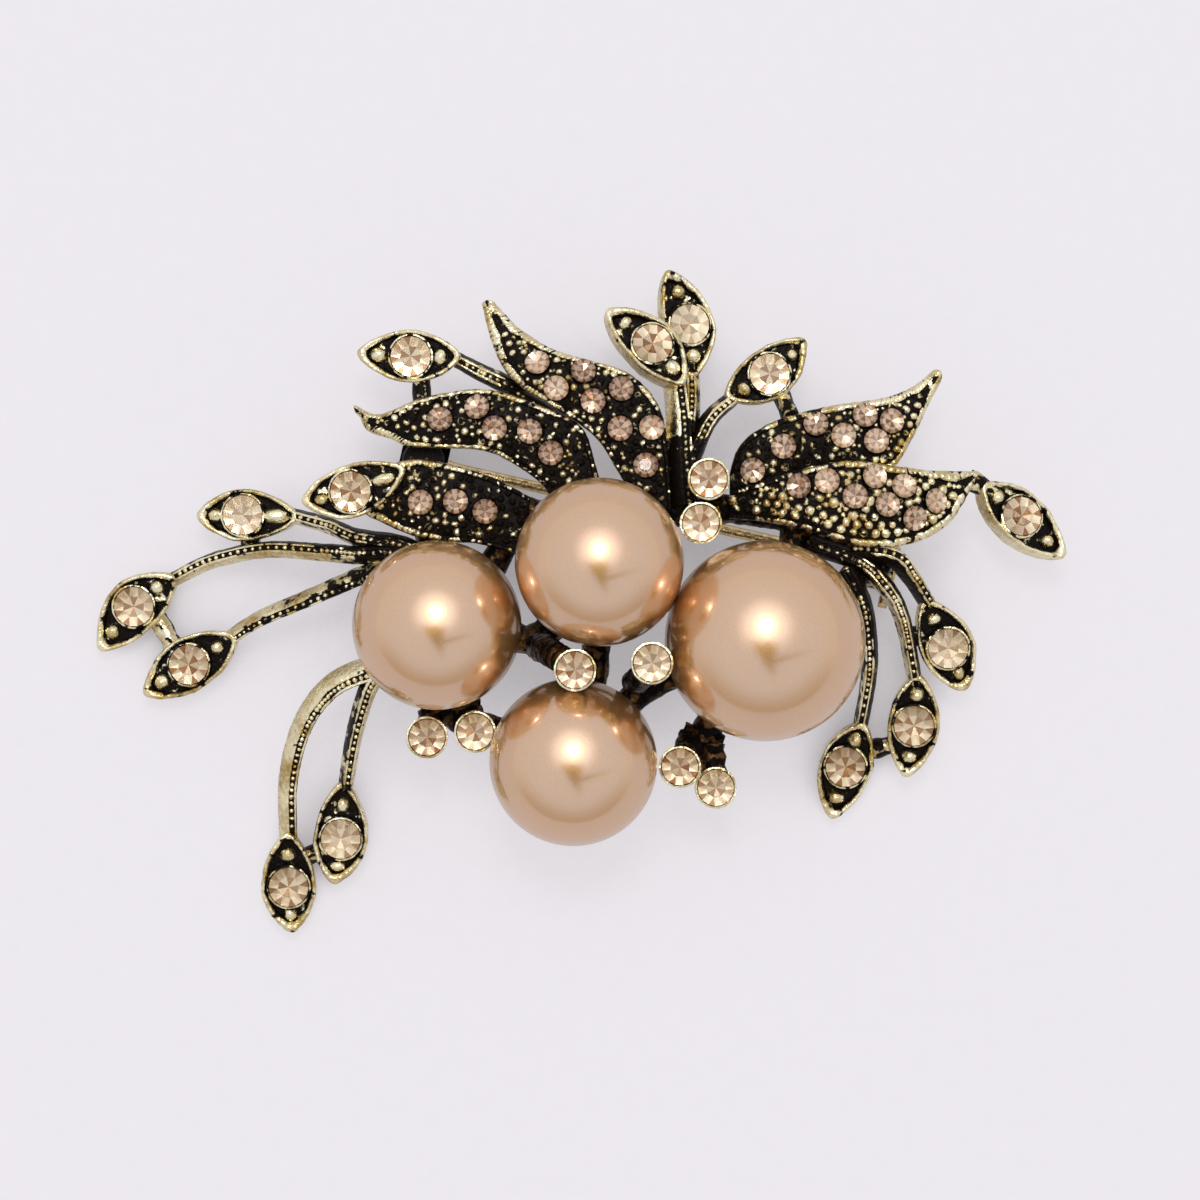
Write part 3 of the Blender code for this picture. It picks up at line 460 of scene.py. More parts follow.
def floor_paper():
    """Pale paper; where the camera or a shiny surface looks at it, most of its light is its own, with a
    painted contact shade near the brooch, and shiny surfaces see it dimmer still as painted shade.
    """
    made, tree, shader = blank_material("pale_paper")
    fibre = noise_at(tree, 700.0, 4.0)
    paper = colour_mix(tree, fibre, (0.826, 0.792, 0.82), (0.856, 0.822, 0.85))
    path = node(tree, "ShaderNodeLightPath").outputs
    mirrored = math_node(tree, "MAXIMUM", path["Is Glossy Ray"], path["Is Transmission Ray"])
    seen = math_node(tree, "MAXIMUM", path["Is Camera Ray"], mirrored)
    # Painted contact shade: the paper's own light dims where the brooch hides the sky nearby, most between
    # the pearls
    open_sky = node(tree, "ShaderNodeAmbientOcclusion", {"Distance": PAINTED_SHADE_REACH}).outputs["AO"]
    painted_contact_shade = remap(tree, open_sky, 0.12, 0.58, 0.38, 1.0)
    own = product(tree, seen, remap(tree, mirrored, 0.0, 1.0, PAPER_GLOW, MIRROR_GLOW), painted_contact_shade)
    matt = colour_mix(tree, product(tree, seen, PAPER_GLOW), paper, (0.0, 0.0, 0.0))
    feed(tree, shader, Base_Color=matt, Roughness=0.9, Specular_IOR_Level=0.0, Emission_Color=paper,
         Emission_Strength=own)
    return made


ANTIQUE_GOLD = antique_metal(
    "antique_gold", bright=(0.98, 0.87, 0.56), deep=(0.49, 0.33, 0.085), patina=(0.008, 0.005, 0.003),
    gold_roughness=0.2)
TRELLIS_GOLD = antique_metal(
    "trellis_gold", bright=(0.15, 0.08, 0.03), deep=(0.03, 0.017, 0.009), patina=(0.005, 0.003, 0.003),
    gold_roughness=0.3)
GILT_PIN = antique_metal(
    "gilt_pin", bright=(0.82, 0.66, 0.36), deep=(0.66, 0.48, 0.22), patina=(0.02, 0.015, 0.01),
    gold_roughness=0.16)
PEARL_COAT = pearl_coat()
CHAMPAGNE = crystal("champagne_glass", (1.0, 0.97, 0.92))
# The foils' bright and deep colours are the two ends of their painted facet light
CHAMPAGNE_FOIL = foil("champagne_foil", bright=(1.0, 0.84, 0.57), deep=(0.38, 0.16, 0.045))
ROSE = crystal("rose_glass", (1.0, 0.95, 0.91))
ROSE_FOIL = foil("rose_foil", bright=(1.0, 0.78, 0.54), deep=(0.26, 0.12, 0.05))


def add(name, data):
    """A new object in the scene."""
    made = bpy.data.objects.new(name, data)
    bpy.context.scene.collection.objects.link(made)
    return made


def mesh_of(bm, name):
    mesh = bpy.data.meshes.new(name)
    bm.to_mesh(mesh)
    bm.free()
    return mesh


def show(name, mesh, finishes, body, nodes=(), matrix=None):
    """Puts a mesh in the scene as a piece that rides on a body and may stand for CAD nodes."""
    piece = add(name, mesh)
    if not mesh.materials:
        for finish in finishes:
            mesh.materials.append(finish)
    if matrix:
        piece.matrix_world = matrix
    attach(piece, body)
    if nodes:
        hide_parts(*nodes)


def new_casting():
    bm = bmesh.new()
    bm.verts.layers.float.new("patina")
    return bm


def casting_mesh(bm, name, roughen=0.05):
    """Finishes a casting: slightly uneven skin, outward normals, smooth shading but for sharp edges."""
    bmesh.ops.recalc_face_normals(bm, faces=bm.faces)
    bm.normal_update()
    for vert in bm.verts:
        vert.co += vert.normal * roughen * MM * noise.noise(vert.co * SKIN_GRAIN)
    mesh = mesh_of(bm, name)
    mesh.shade_smooth()
    mesh.set_sharp_from_angle(angle=math.radians(SHARP_ANGLE))
    return mesh


def loft(bm, rings, shades, matrix=None):
    """Closed skin through rings of points in millimetres, with a share of patina for each ring or point."""
    layer = bm.verts.layers.float["patina"]
    rows = []
    for ring, shade in zip(rings, shades):
        row = []
        for index, place in enumerate(ring):
            spot = Vector(place) * MM
            vert = bm.verts.new(matrix @ spot if matrix else spot)
            vert[layer] = shade[index] if isinstance(shade, list) else shade
            row.append(vert)
        rows.append(row)
    for lower, upper in zip(rows, rows[1:]):
        for index, corner in enumerate(lower):
            after = (index + 1) % len(lower)
            bm.faces.new((corner, lower[after], upper[after], upper[index]))
    bm.faces.new(list(reversed(rows[0])))
    bm.faces.new(rows[-1])


def circle(radius, height, sides):
    turns = [2 * math.pi * k / sides for k in range(sides)]
    return [(radius * math.cos(turn), radius * math.sin(turn), height) for turn in turns]


def hoop(bm, section, shades, matrix, sides=ROUND_SIDES):
    """Ring round Z from a closed section of (radius, height) points."""
    layer = bm.verts.layers.float["patina"]
    rows = []
    for k in range(sides):
        turn = 2 * math.pi * k / sides
        row = []
        for (radius, height), shade in zip(section, shades):
            spot = Vector((radius * math.cos(turn), radius * math.sin(turn), height)) * MM
            vert = bm.verts.new(matrix @ spot)
            vert[layer] = shade
            row.append(vert)
        rows.append(row)
    for index, row in enumerate(rows):
        after = rows[(index + 1) % sides]
        for k, corner in enumerate(row):
            j = (k + 1) % len(row)
            bm.faces.new((corner, row[j], after[j], after[k]))


def turned(bm, profile, matrix, sides=ROUND_SIDES):
    """Lathed shape from (radius, height, patina) points."""
    rings = [circle(radius, height, sides) for radius, height, _ in profile]
    loft(bm, rings, [shade for _, _, shade in profile], matrix)


def aim(place, normal):
    """Matrix that puts a shape at a place in millimetres with its Z along the normal."""
    return Matrix.Translation(Vector(place) * MM) @ normal.to_track_quat("Z", "Y").to_matrix().to_4x4()


def dome(bm, matrix, radius, top_shade=0.0, sides=9):
    """Uneven round grain, sunk a little into the surface where the matrix puts it."""
    rows = ((-20, 1.0), (8, 0.5), (30, 0.05), (60, 0.0), (84, 0.0))
    profile = []
    for angle, shade in rows:
        turn = math.radians(angle)
        profile.append((radius * math.cos(turn), radius * math.sin(turn), max(shade, top_shade)))
    lump = Matrix.Diagonal((chance.uniform(0.8, 1.1), chance.uniform(0.8, 1.1), 1.0, 1.0))
    turned(bm, profile, matrix @ lump, sides)


def along(points, share):
    """Smooth curve through the points (Catmull-Rom), at a share of the way through them."""
    last = len(points) - 1
    index = max(0, min(int(share * last), last - 1))
    t = share * last - index
    before, start, end, after = (Vector(points[max(0, min(last, index + step))]) for step in (-1, 0, 1, 2))
    bend = (2 * before - 5 * start + 4 * end - after) * t * t
    bend += (3 * start - before - 3 * end + after) * t ** 3
    return 0.5 * (2 * start + (end - before) * t + bend)


def length_of(points):
    return sum((Vector(b) - Vector(a)).length for a, b in zip(points, points[1:]))


def stations(points, spacing):
    """Places, side and up directions and shares of the way, at even steps along a curve."""
    count = max(4, round(length_of(points) / spacing))
    found = []
    for step in range(count + 1):
        share = step / count
        ahead = along(points, min(1.0, share + 0.01)) - along(points, max(0.0, share - 0.01))
        side = ahead.cross(UP).normalized()
        found.append((along(points, share), side, side.cross(ahead).normalized(), share))
    return found


def sweep(bm, points, width, height, profile, spacing=0.3, wobble=0.0, slim=1.0, sink=1.0, dark=0.0):
    """Bar along a curve from (share of the width, share of the height, patina) points.

    Its far end is slimmer by one factor and sunk by another, and its near end can be dark: patina with
    painted shade, toward the pearls.
    """
    rings, shades = [], []
    long = length_of(points)
    for place, side, up, share in stations(points, spacing):
        swell = (1.0 + wobble * noise.noise(place * 0.9)) * (1.0 + (slim - 1.0) * share)
        rise = min(1.0, sink + (1.0 - sink) * (1.0 - share) * long / SINK_REACH)
        rings.append([place + side * (x * width * swell) + up * (y * height * rise) for x, y, _ in profile])
        # Darker toward the near end, by the pearls: patina with painted shade
        stain = max(0.0, 1.0 - share / dark) if dark else 0.0
        shades.append([shade + 1.1 * stain for _, _, shade in profile])
    loft(bm, rings, shades)


def stem(bm, shape):
    """Beaded stem: two sloping walls and a row of grains in a narrow groove that leans to one side."""
    lean, (left, right), dark, width, points = shape
    profile = [
        (-0.44, 0.0, 0.0), (-0.50, 0.02, left), (-0.47, 0.3, left), (-0.31 + 0.8 * lean, 0.84, left),
        (-0.23 + lean, 0.93, 0.15), (-0.16 + lean, 0.93, 0.2), (-0.11 + lean, 0.86, 1.0),
        (0.11 + lean, 0.86, 1.0), (0.16 + lean, 0.93, 0.2), (0.23 + lean, 0.93, 0.15),
        (0.31 + 0.8 * lean, 0.84, right), (0.47, 0.3, right), (0.50, 0.02, right), (0.44, 0.0, 0.0),
    ]
    sweep(bm, points, width, STEM_HEIGHT, profile, slim=1.0 - STEM_TAPER, sink=STEM_SINK, dark=dark)
    long = length_of(points)
    for place, side, up, share in stations(points, MILGRAIN_PITCH):
        if (1.0 - share) * long > STEM_BARE:
            taper = 1.0 - STEM_TAPER * share
            wide = width * taper
            seat = place + side * (lean * wide) + up * (0.85 * STEM_HEIGHT)
            # Grains darker toward the pearls: patina with painted shade
            stain = max(0.0, 1.0 - share / dark) * chance.uniform(0.4, 1.1)
            size = MILGRAIN_RADIUS * taper * chance.uniform(0.95, 1.1)
            dome(bm, aim(seat, up), size, stain, sides=8)


def link(bm, points, shade):
    # The link's foot is dark on both sides: patina with painted shade where it meets the parts below
    profile = [(-0.5, 0.0, 0.9), (-0.45, 0.5, 0.3 + shade), (-0.22, 0.9, shade), (0.0, 0.95, 0.2 + shade),
               (0.22, 0.9, shade), (0.45, 0.5, 0.2 + shade), (0.5, 0.0, 0.9)]
    sweep(bm, points, LINK_WIDTH, LINK_HEIGHT, profile, spacing=0.15, wobble=0.3)


def cup_matrix(number, droop_share=1.0):
    """Place of a cup's rim plane, or of its stone, which droops less."""
    shape = CUPS[number]
    heading = Matrix.Rotation(math.radians(shape.heading), 4, "Z")
    droop = Matrix.Rotation(math.radians(shape.droop * droop_share), 4, "Y")
    roll = Matrix.Rotation(math.radians(shape.roll), 4, "X")
    return Matrix.Translation(Vector(shape.place) * MM) @ (heading @ droop) @ roll


def marquise(number, depth, height):
    """Pointed oval of a cup, set in by a depth, its tips swept sideways by the bow."""
    shape = CUPS[number]
    ring = []
    for k in range(CUP_SIDES):
        turn = 2 * math.pi * k / CUP_SIDES
        ahead, side = math.cos(turn), math.sin(turn)
        reach = shape.reach_out - 2.2 * depth if ahead > 0 else shape.reach_in - 1.6 * depth
        belly = (shape.half_width - depth - TIP_ROUND) * abs(side) ** 1.9 + TIP_ROUND * abs(side) ** 0.5
        across = math.copysign(belly, side)
        worn = 0.05 * noise.noise((3.0 * ahead, 3.0 * side, 1.7 * number))
        ring.append((ahead * reach, across * (1.0 + worn) - shape.bow * ahead ** 2, height + worn))
    return ring


def cup(bm, number):
    """Marquise cup: drafted wall, worn rim, dark floor with a grain at each end, collar round the stone."""
    shape = CUPS[number]
    matrix = cup_matrix(number)
    bore = CUP_STONE + 0.02
    collar = CUP_STONE + COLLAR
    rows = [(0.16, -CUP_HEIGHT, 0.05), (0.06, -1.2, 0.0), (0.02, -0.4, 0.1), (0.02, -0.1, 0.2),
            (0.09, 0.03, 0.15), (0.18, 0.06, 0.15), (0.27, 0.0, 0.25), (0.34, -0.12, 0.55),
            (0.38, -0.3, 1.0), (0.42, -CUP_FLOOR, 0.9)]
    rings = [marquise(number, depth, height) for depth, height, _ in rows]
    shades = [shade for _, _, shade in rows]
    for radius, height in ((bore, -CUP_FLOOR), (bore, -0.6), (0.12, -1.5)):
        rings.append(circle(radius, height, CUP_SIDES))
        shades.append(0.9)
    loft(bm, rings, shades, matrix)
    band = [(bore, -0.58), (collar, -0.58), (collar, -0.05), (collar - 0.05, 0.05), (bore + 0.04, 0.07),
            (bore, 0.02)]
    hoop(bm, band, [1.0, 1.0, 0.7, 0.4, 0.4, 0.6], matrix, CUP_SIDES)
    for share, whole in ((0.6, shape.reach_out), (-0.58, shape.reach_in)):
        seat = Matrix.Translation(Vector((share * whole, -shape.bow * share ** 2, -CUP_FLOOR + 0.08)) * MM)
        stretch = WEDGE_STRETCH if number in WEDGE_CUPS and share < 0 else 1.0
        wedge = Matrix.Diagonal((stretch, 1.0, 1.0, 1.0))
        size = CUP_BEAD * chance.uniform(0.92, 1.08)
        dome(bm, matrix @ seat @ wedge, size, sides=14)


def leaf_floor(leaf, u, v):
    """A point of the leaf's floor, at shares along and across."""
    flat = along(leaf.left, u).lerp(along(leaf.right, u), v)
    height = along([(z, z) for z in leaf.heights], u).x
    return Vector((*flat, height + LEAF_CROWN * 4 * v * (1 - v) * math.sin(math.pi * min(0.9, u)) ** 0.5))


def leaf_normal(leaf, u, v):
    slope_u = leaf_floor(leaf, u + 0.02, v) - leaf_floor(leaf, u - 0.02, v)
    slope_v = leaf_floor(leaf, u, v + 0.05) - leaf_floor(leaf, u, v - 0.05)
    normal = slope_u.cross(slope_v).normalized()
    return normal if normal.z > 0 else -normal


def leaf_length(leaf):
    return length_of([(Vector(a) + Vector(b)) / 2 for a, b in zip(leaf.left, leaf.right)])


def leaf_width(leaf, u):
    return (along(leaf.right, u) - along(leaf.left, u)).length


def rim_reach(u):
    """Reach of a leaf's rim in from the edge; it widens along the leaf into a solid tip."""
    return LEAF_RIM * (0.8 + 0.9 * u + max(0.0, u - LEAF_TIP) / (1.0 - LEAF_TIP))


def leaf_blade(bm, leaf):
    """Leaf with a notched, rounded rim along both edges, a dark crowned floor and a plain back."""
    # The outer wall darkens toward its foot: patina with painted shade
    rim = [(0.05, -0.5, 0.5), (0.0, -0.1, 0.35), (0.04, 0.2, 0.2), (0.14, 0.32, 0.1), (0.28, 0.30, 0.15),
           (0.38, 0.16, 0.5), (0.44, 0.0, 1.0), (LEAF_RIM, -0.02, 1.0)]
    inside = [k / 20 for k in range(1, 20)]
    pits = [leaf_floor(leaf, u, v) for u, v in leaf.stones]
    long = leaf_length(leaf)
    steps = round(long / LEAF_STEP)
    rings, shades = [], []
    for step in range(steps + 1):
        u = step / steps
        width = leaf_width(leaf, u)
        narrow = min(1.0, width / (3.6 * LEAF_RIM))
        edge = min(rim_reach(u), 0.45 * width) / width
        notch = 0.5 + 0.5 * math.cos(2 * math.pi * u * long / MILGRAIN_PITCH)
        top, dark = [], []
        for reach, lift, shade in rim:
            cut = notch if 0.04 <= reach < 0.3 else 0.0
            top.append((reach / LEAF_RIM * edge, lift * (0.4 + 0.6 * narrow) - 0.10 * cut))
            # The rim darkens toward the leaf's base, by the pearls: patina with painted shade
            dark.append(shade * narrow + 0.7 * max(0.0, 1 - u / 0.5) + 0.3 * cut ** 2)
        middle = [(edge + (1 - 2 * edge) * share, 0.0) for share in inside]
        across = top + middle + [(1 - v, lift) for v, lift in reversed(top)]
        ring = [leaf_floor(leaf, u, v) + UP * lift for v, lift in across]
        for spot in ring[len(top):-len(top)]:
            away = min((spot - pit).length for pit in pits)
            spot.z -= PIT_DEPTH * max(0.0, min(1.0, (PAVE_STONE - away) / PIT_WALL))
        ring += [leaf_floor(leaf, u, v) - UP * LEAF_THICKNESS for v in (1.0, 0.75, 0.5, 0.25, 0.0)]
        rings.append(ring)
        shades.append(dark + [narrow] * len(middle) + dark[::-1] + [0.0] * 5)
    last = rings[-1]
    centre = sum(last, Vector()) / len(last)
    ahead = (centre - sum(rings[-2], Vector()) / len(last)).normalized()
    for turn in (0.5, 1.0, 1.35):
        nose = ahead * (leaf_width(leaf, 1.0) / 2 * math.sin(turn))
        rings.append([centre + (spot - centre) * math.cos(turn) + nose for spot in last])
        shades.append(shades[-1])
    loft(bm, rings, shades)


def leaf_grains(bm, leaf):
    """Grains in rows along the leaf, with small ones in the gaps, darker near the pearls: patina with painted
    shade.
    """
    long = leaf_length(leaf)
    taken = [(leaf_floor(leaf, u, v), PAVE_STONE + 0.12) for u, v in leaf.stones]

    def try_grain(u, v, size):
        place = leaf_floor(leaf, u, v)
        edge = min(v, 1 - v) * leaf_width(leaf, u)
        clear = all((place - other).length > reach for other, reach in taken)
        if not (clear and 0.03 < u < 0.97 and edge > rim_reach(u)):
            return
        taken.append((place, leaf.apart * size))
        # Random patina, and darker toward the base by the pearls: patina with painted shade
        stain = leaf.stained * chance.random() + 0.8 * max(0.0, 1 - u / 0.55) * chance.random()
        dome(bm, aim(place, leaf_normal(leaf, u, v)), size * chance.uniform(0.9, 1.15), stain)

    pitch = (leaf.apart + 0.2) * leaf.grain
    for row in range(round(LEAF_WIDEST / pitch)):
        for step in range(round(long / pitch)):
            u = (step + 0.5 + 0.5 * (row % 2) + chance.uniform(-0.15, 0.15)) * pitch / long
            from_edge = rim_reach(u) + 0.8 * leaf.grain + 0.9 * pitch * row
            try_grain(u, 1 - from_edge / leaf_width(leaf, u), leaf.grain)
    across, lengthwise = 40, round(long / 0.1)
    for row in range(1, across):
        for step in range(lengthwise):
            try_grain(step / lengthwise, row / across, 0.6 * leaf.grain)


def chaton(name, radius, crown, depth, girdle, rise, finishes, painted_facet_shift):
    """Round cut stone: octagonal table, eight broad crown facets with triangles between, foiled pavilion.

    The foil's outer facets rise or fall inward: rising ones send the light straight up again. Every foil
    facet has a painted tone, and its inner facets, seen through the table, are painted pale and dark by
    turns: painted light standing in for the sparkle of reflected light. The painted facet shift moves all
    the tones of one cut.
    """
    bm = bmesh.new()
    tone = bm.faces.layers.float.new("tone")

    def ring(count, share, height, shift=0.0):
        reach = share * radius
        corners = []
        for k in range(count):
            turn = 2 * math.pi * (k + shift) / count
            spot = (reach * math.cos(turn) * MM, reach * math.sin(turn) * MM, height * MM)
            corners.append(bm.verts.new(spot))
        return corners

    def backed(corners, shade):
        face = bm.faces.new(corners)
        face.material_index = 1
        face[tone] = max(0.0, min(1.0, shade + painted_facet_shift))

    back = girdle - GIRDLE_BAND
    table = ring(8, 0.5, girdle + crown)
    edge = ring(16, 1.0, girdle, 0.5)
    lower = ring(16, 1.0, back, 0.5)
    inner = ring(8, 0.52, back + rise, 0.5)
    culet = bm.verts.new((0, 0, (girdle - depth) * MM))
    bm.faces.new(table)
    # Painted facet light: each foil facet gets its own pale or dark tone, standing in for the light the
    # facets throw back
    for k in range(8):
        after = (k + 1) % 8
        bm.faces.new((table[k], edge[2 * k], edge[2 * k + 1], table[after]))
        bm.faces.new((table[k], edge[2 * k - 1], edge[2 * k]))
        for j in (2 * k, 2 * k + 1):
            backed((edge[j], lower[j], lower[(j + 1) % 16], edge[(j + 1) % 16]), 0.2)
        backed((lower[2 * k], inner[k], lower[2 * k + 1]), chance.uniform(0.55, 1.0))
        backed((lower[2 * k + 1], inner[k], inner[after], lower[(2 * k + 2) % 16]), chance.uniform(-0.5, 0.4))
        backed((culet, inner[after], inner[k]), 0.25 + 0.5 * (k % 2) + chance.uniform(-0.2, 0.2))
    bmesh.ops.recalc_face_normals(bm, faces=bm.faces)
    mesh = mesh_of(bm, name)
    for finish in finishes:
        mesh.materials.append(finish)
    return mesh


def cast(name, bm, shape):
    """Adds the cups, stems and links of a leaf or a sprig to its casting and shows it for its CAD node."""
    for number in shape.cups:
        cup(bm, number)
    for part in shape.stems:
        stem(bm, part)
    for shade, points in shape.links:
        link(bm, points, shade)
    show(f"{name}_cast", casting_mesh(bm, name), [ANTIQUE_GOLD], "brooch", [name])


def build_castings():
    """Leaves and sprigs, one piece for each CAD node."""
    for name, leaf in LEAVES.items():
        bm = new_casting()
        leaf_blade(bm, leaf)
        leaf_grains(bm, leaf)
        cast(name, bm, leaf)
    for name, sprig in SPRIGS.items():
        cast(name, new_casting(), sprig)


def build_collets():
    bore = COLLET_STONE + SEAT_GAP - 0.04
    # The tube darkens toward its foot: patina with painted shade where it stands among the other parts
    profile = [(COLLET_RADIUS - 0.28, -COLLET_HEIGHT, 0.6), (COLLET_RADIUS - 0.2, -1.4, 0.3),
               (COLLET_RADIUS - 0.05, -0.35, 0.0), (COLLET_RADIUS, -0.1, 0.0),
               (COLLET_RADIUS - 0.02, 0.03, 0.0), (bore + 0.04, 0.06, 0.0), (bore, 0.0, 0.2),
               (bore, -0.35, 1.0), (0.3, -1.3, 1.0)]
    for index, (place, _, _) in enumerate(COLLETS, 1):
        bm = new_casting()
        turned(bm, profile, Matrix.Translation(Vector(place) * MM))
        name = f"collet_{index}"
        show(f"{name}_tube", casting_mesh(bm, name), [ANTIQUE_GOLD], "brooch", [name])


def build_stones():
    """Stones turned at random: one in each cup and collet, several on each leaf, in a few cuts."""
    def cuts(name, radius, painted_facet_shifts, **shape):
        return [chaton(f"{name}_{k}", radius, painted_facet_shift=painted_facet_shift, **shape) for k, painted_facet_shift in enumerate(painted_facet_shifts)]

    def spun():
        return Matrix.Rotation(chance.uniform(0, math.pi), 4, "Z")

    champagne = [CHAMPAGNE, CHAMPAGNE_FOIL]
    cup_cuts = cuts("cup_stone", CUP_STONE, (-0.25, -0.1, 0.05),
                    crown=0.34, depth=0.2, girdle=0.0, rise=0.06, finishes=champagne)
    collet_cuts = cuts("collet_stone", COLLET_STONE, (-0.15, 0.1),
                       crown=0.31, depth=0.18, girdle=0.0, rise=0.06, finishes=champagne)
    pave_cuts = cuts("pave_stone", PAVE_STONE, (-0.15, 0.05, 0.2, 0.4),
                     crown=0.21, depth=0.22, girdle=0.26, rise=-0.06, finishes=[ROSE, ROSE_FOIL])
    for number in CUPS:
        name = f"cup_stone_{number:02d}"
        cut = cup_cuts[number % len(cup_cuts)]
        matrix = cup_matrix(number, STONE_DROOP) @ spun()
        show(f"{name}_cut", cut, [], "brooch", [name], matrix)
    for index, (place, _, _) in enumerate(COLLETS, 1):
        name = f"collet_stone_{index}"
        matrix = Matrix.Translation(Vector(place) * MM) @ spun()
        cut = collet_cuts[index % len(collet_cuts)]
        show(f"{name}_cut", cut, [], "brooch", [name], matrix)
    for name, leaf in LEAVES.items():
        for index, (u, v) in enumerate(leaf.stones, 1):
            lean = [chance.uniform(-STONE_TILT, STONE_TILT) for _ in range(2)]
            normal = leaf_normal(leaf, u, v)
            tilted = normal + Vector((*lean, 0))
            matrix = aim(leaf_floor(leaf, u, v) + STONE_LIFT * normal, tilted) @ spun()
            cut = pave_cuts[chance.randrange(len(pave_cuts))]
            show(f"{name}_stone_{index}", cut, [], "brooch", matrix=matrix)


def build_pearls():
    for key in PEARLS:
        name = f"pearl_{key}"
        low, high = (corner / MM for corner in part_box(name))
        radius = (high.z - low.z) / (1 + math.sqrt(1 - (2 * DRILL_RADIUS / (high.z - low.z)) ** 2))
        centre = Vector(((low.x + high.x) / 2, (low.y + high.y) / 2, high.z - radius))
        start = math.asin(DRILL_RADIUS / radius)
        profile = []
        for row in range(PEARL_ROWS):
            polar = start + (math.pi - start - 0.01) * row / (PEARL_ROWS - 1)
            profile.append((radius * math.sin(polar), -radius * math.cos(polar), 0.0))
        drill = [(0.05, DRILL_DEPTH - radius, 1.0), (DRILL_RADIUS, DRILL_DEPTH - radius, 1.0)]
        bm = new_casting()
        turned(bm, drill + profile, Matrix.Translation(centre * MM), PEARL_SIDES)
        mesh = casting_mesh(bm, name, roughen=0.0)
        show(f"{name}_bead", mesh, [PEARL_COAT], "brooch", [name])


def middle_of(low, high):
    """Matrix to the middle of a box in plan, at height zero."""
    return Matrix.Translation(((low.x + high.x) / 2 * MM, (low.y + high.y) / 2 * MM, 0))


def build_trellis():
    """Openwork behind the pearls: rough dark rails, dished pads and ridged stalks."""
    bm = new_casting()
    profile = [(-0.5, 0.0, 0.3), (-0.46, 0.4, 0.6), (-0.36, 0.8, 0.55), (-0.15, 0.97, 0.6), (0.15, 0.97, 0.6),
               (0.36, 0.8, 0.55), (0.46, 0.4, 0.6), (0.5, 0.0, 0.3)]
    for points in RAILS:
        sweep(bm, points, RAIL_WIDTH, RAIL_HEIGHT, profile, wobble=0.12)
    for key in PEARLS:
        low, high = (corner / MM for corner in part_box(f"pearl_{key}"))
        radius = (high.x - low.x) / 2
        back = min(PAD_BACK, low.z - 0.66)

        def dish(away):
            return low.z + radius - SEAT_GAP - math.sqrt(radius ** 2 - away ** 2)

        pad = [(PAD_RADIUS - 0.2, back, 0.3), (PAD_RADIUS, dish(PAD_RADIUS) - 0.15, 0.3),
               (PAD_RADIUS - 0.08, dish(PAD_RADIUS - 0.08) - 0.03, 0.2), (1.6, dish(1.6), 0.8),
               (PEG_RADIUS, dish(PEG_RADIUS), 0.8), (PEG_RADIUS, low.z + PEG_LENGTH - 0.15, 0.3),
               (PEG_RADIUS - 0.15, low.z + PEG_LENGTH, 0.3)]
        turned(bm, pad, middle_of(low, high))
    for place, radius, points in COLLETS:
        x, y, z = place
        foot = z - COLLET_HEIGHT
        path = [*points, (x, y, foot - 0.7), (x, y, foot - SEAT_GAP)]
        long = length_of(path)
        rings, shades = [], []
        for spot, side, up, share in stations(path, 0.15):
            ridge = 0.5 + 0.5 * math.cos(2 * math.pi * share * long / STALK_RIDGE)
            around = radius * (1.22 - 0.22 * share) * (0.9 + 0.1 * ridge)
            rings.append([spot + side * (around * math.cos(t)) + up * (around * math.sin(t))
                          for t in (2 * math.pi * k / STALK_SIDES for k in range(STALK_SIDES))])
            shades.append(0.75 - 0.5 * ridge)
        loft(bm, rings, shades)
    for name in ("hinge_base", "catch_base"):
        low, high = (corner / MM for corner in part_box(name))
        pad = [(1.5, PAD_BACK, 0.9), (1.5, 7.3, 0.9), (1.35, 7.65, 0.9)]
        turned(bm, pad, middle_of(low, high))
    mesh = casting_mesh(bm, "trellis", roughen=0.12)
    show("trellis_cast", mesh, [TRELLIS_GOLD], "brooch", ["trellis"])


def build_pin():
    """Gilt pin stem with a round eye, a shoulder and a ground point."""
    hinge, catch = (Vector(joint["pos_m"]) for joint in frame["joints"])
    reach = (catch - hinge).length / MM
    tip = reach + PIN_PAST_CATCH
    matrix = Matrix.Translation(hinge) @ (catch - hinge).to_track_quat("X", "Z").to_matrix().to_4x4()
    bm = new_casting()
    wire = [(0.9, 1.1, 0.4), (1.4, 1.2, 0.1), (2.6, 1.0, 0.0), (tip - 5.0, 1.0, 0.0), (tip - 3.0, 0.8, 0.0),
            (tip - 1.5, 0.5, 0.0), (tip - 0.3, 0.18, 0.0), (tip, 0.06, 0.0)]
    turned(bm, [(PIN_RADIUS * factor, x, shade) for x, factor, shade in wire],
           matrix @ Matrix.Rotation(math.pi / 2, 4, "Y"), sides=24)
    half = EYE_WIDTH / 2
    eye = [(EYE_HOLE, -half + 0.05), (EYE_HOLE + 0.06, -half), (EYE_RADIUS - 0.12, -half),
           (EYE_RADIUS, -half + 0.12), (EYE_RADIUS, half - 0.12), (EYE_RADIUS - 0.12, half),
           (EYE_HOLE + 0.06, half), (EYE_HOLE, half - 0.05)]
    hoop(bm, eye, [0.0] * len(eye), matrix @ Matrix.Rotation(math.pi / 2, 4, "X"))
    mesh = casting_mesh(bm, "pin_stem", roughen=0.004)
    show("pin_stem_wire", mesh, [GILT_PIN], "pin", ["pin_stem"])


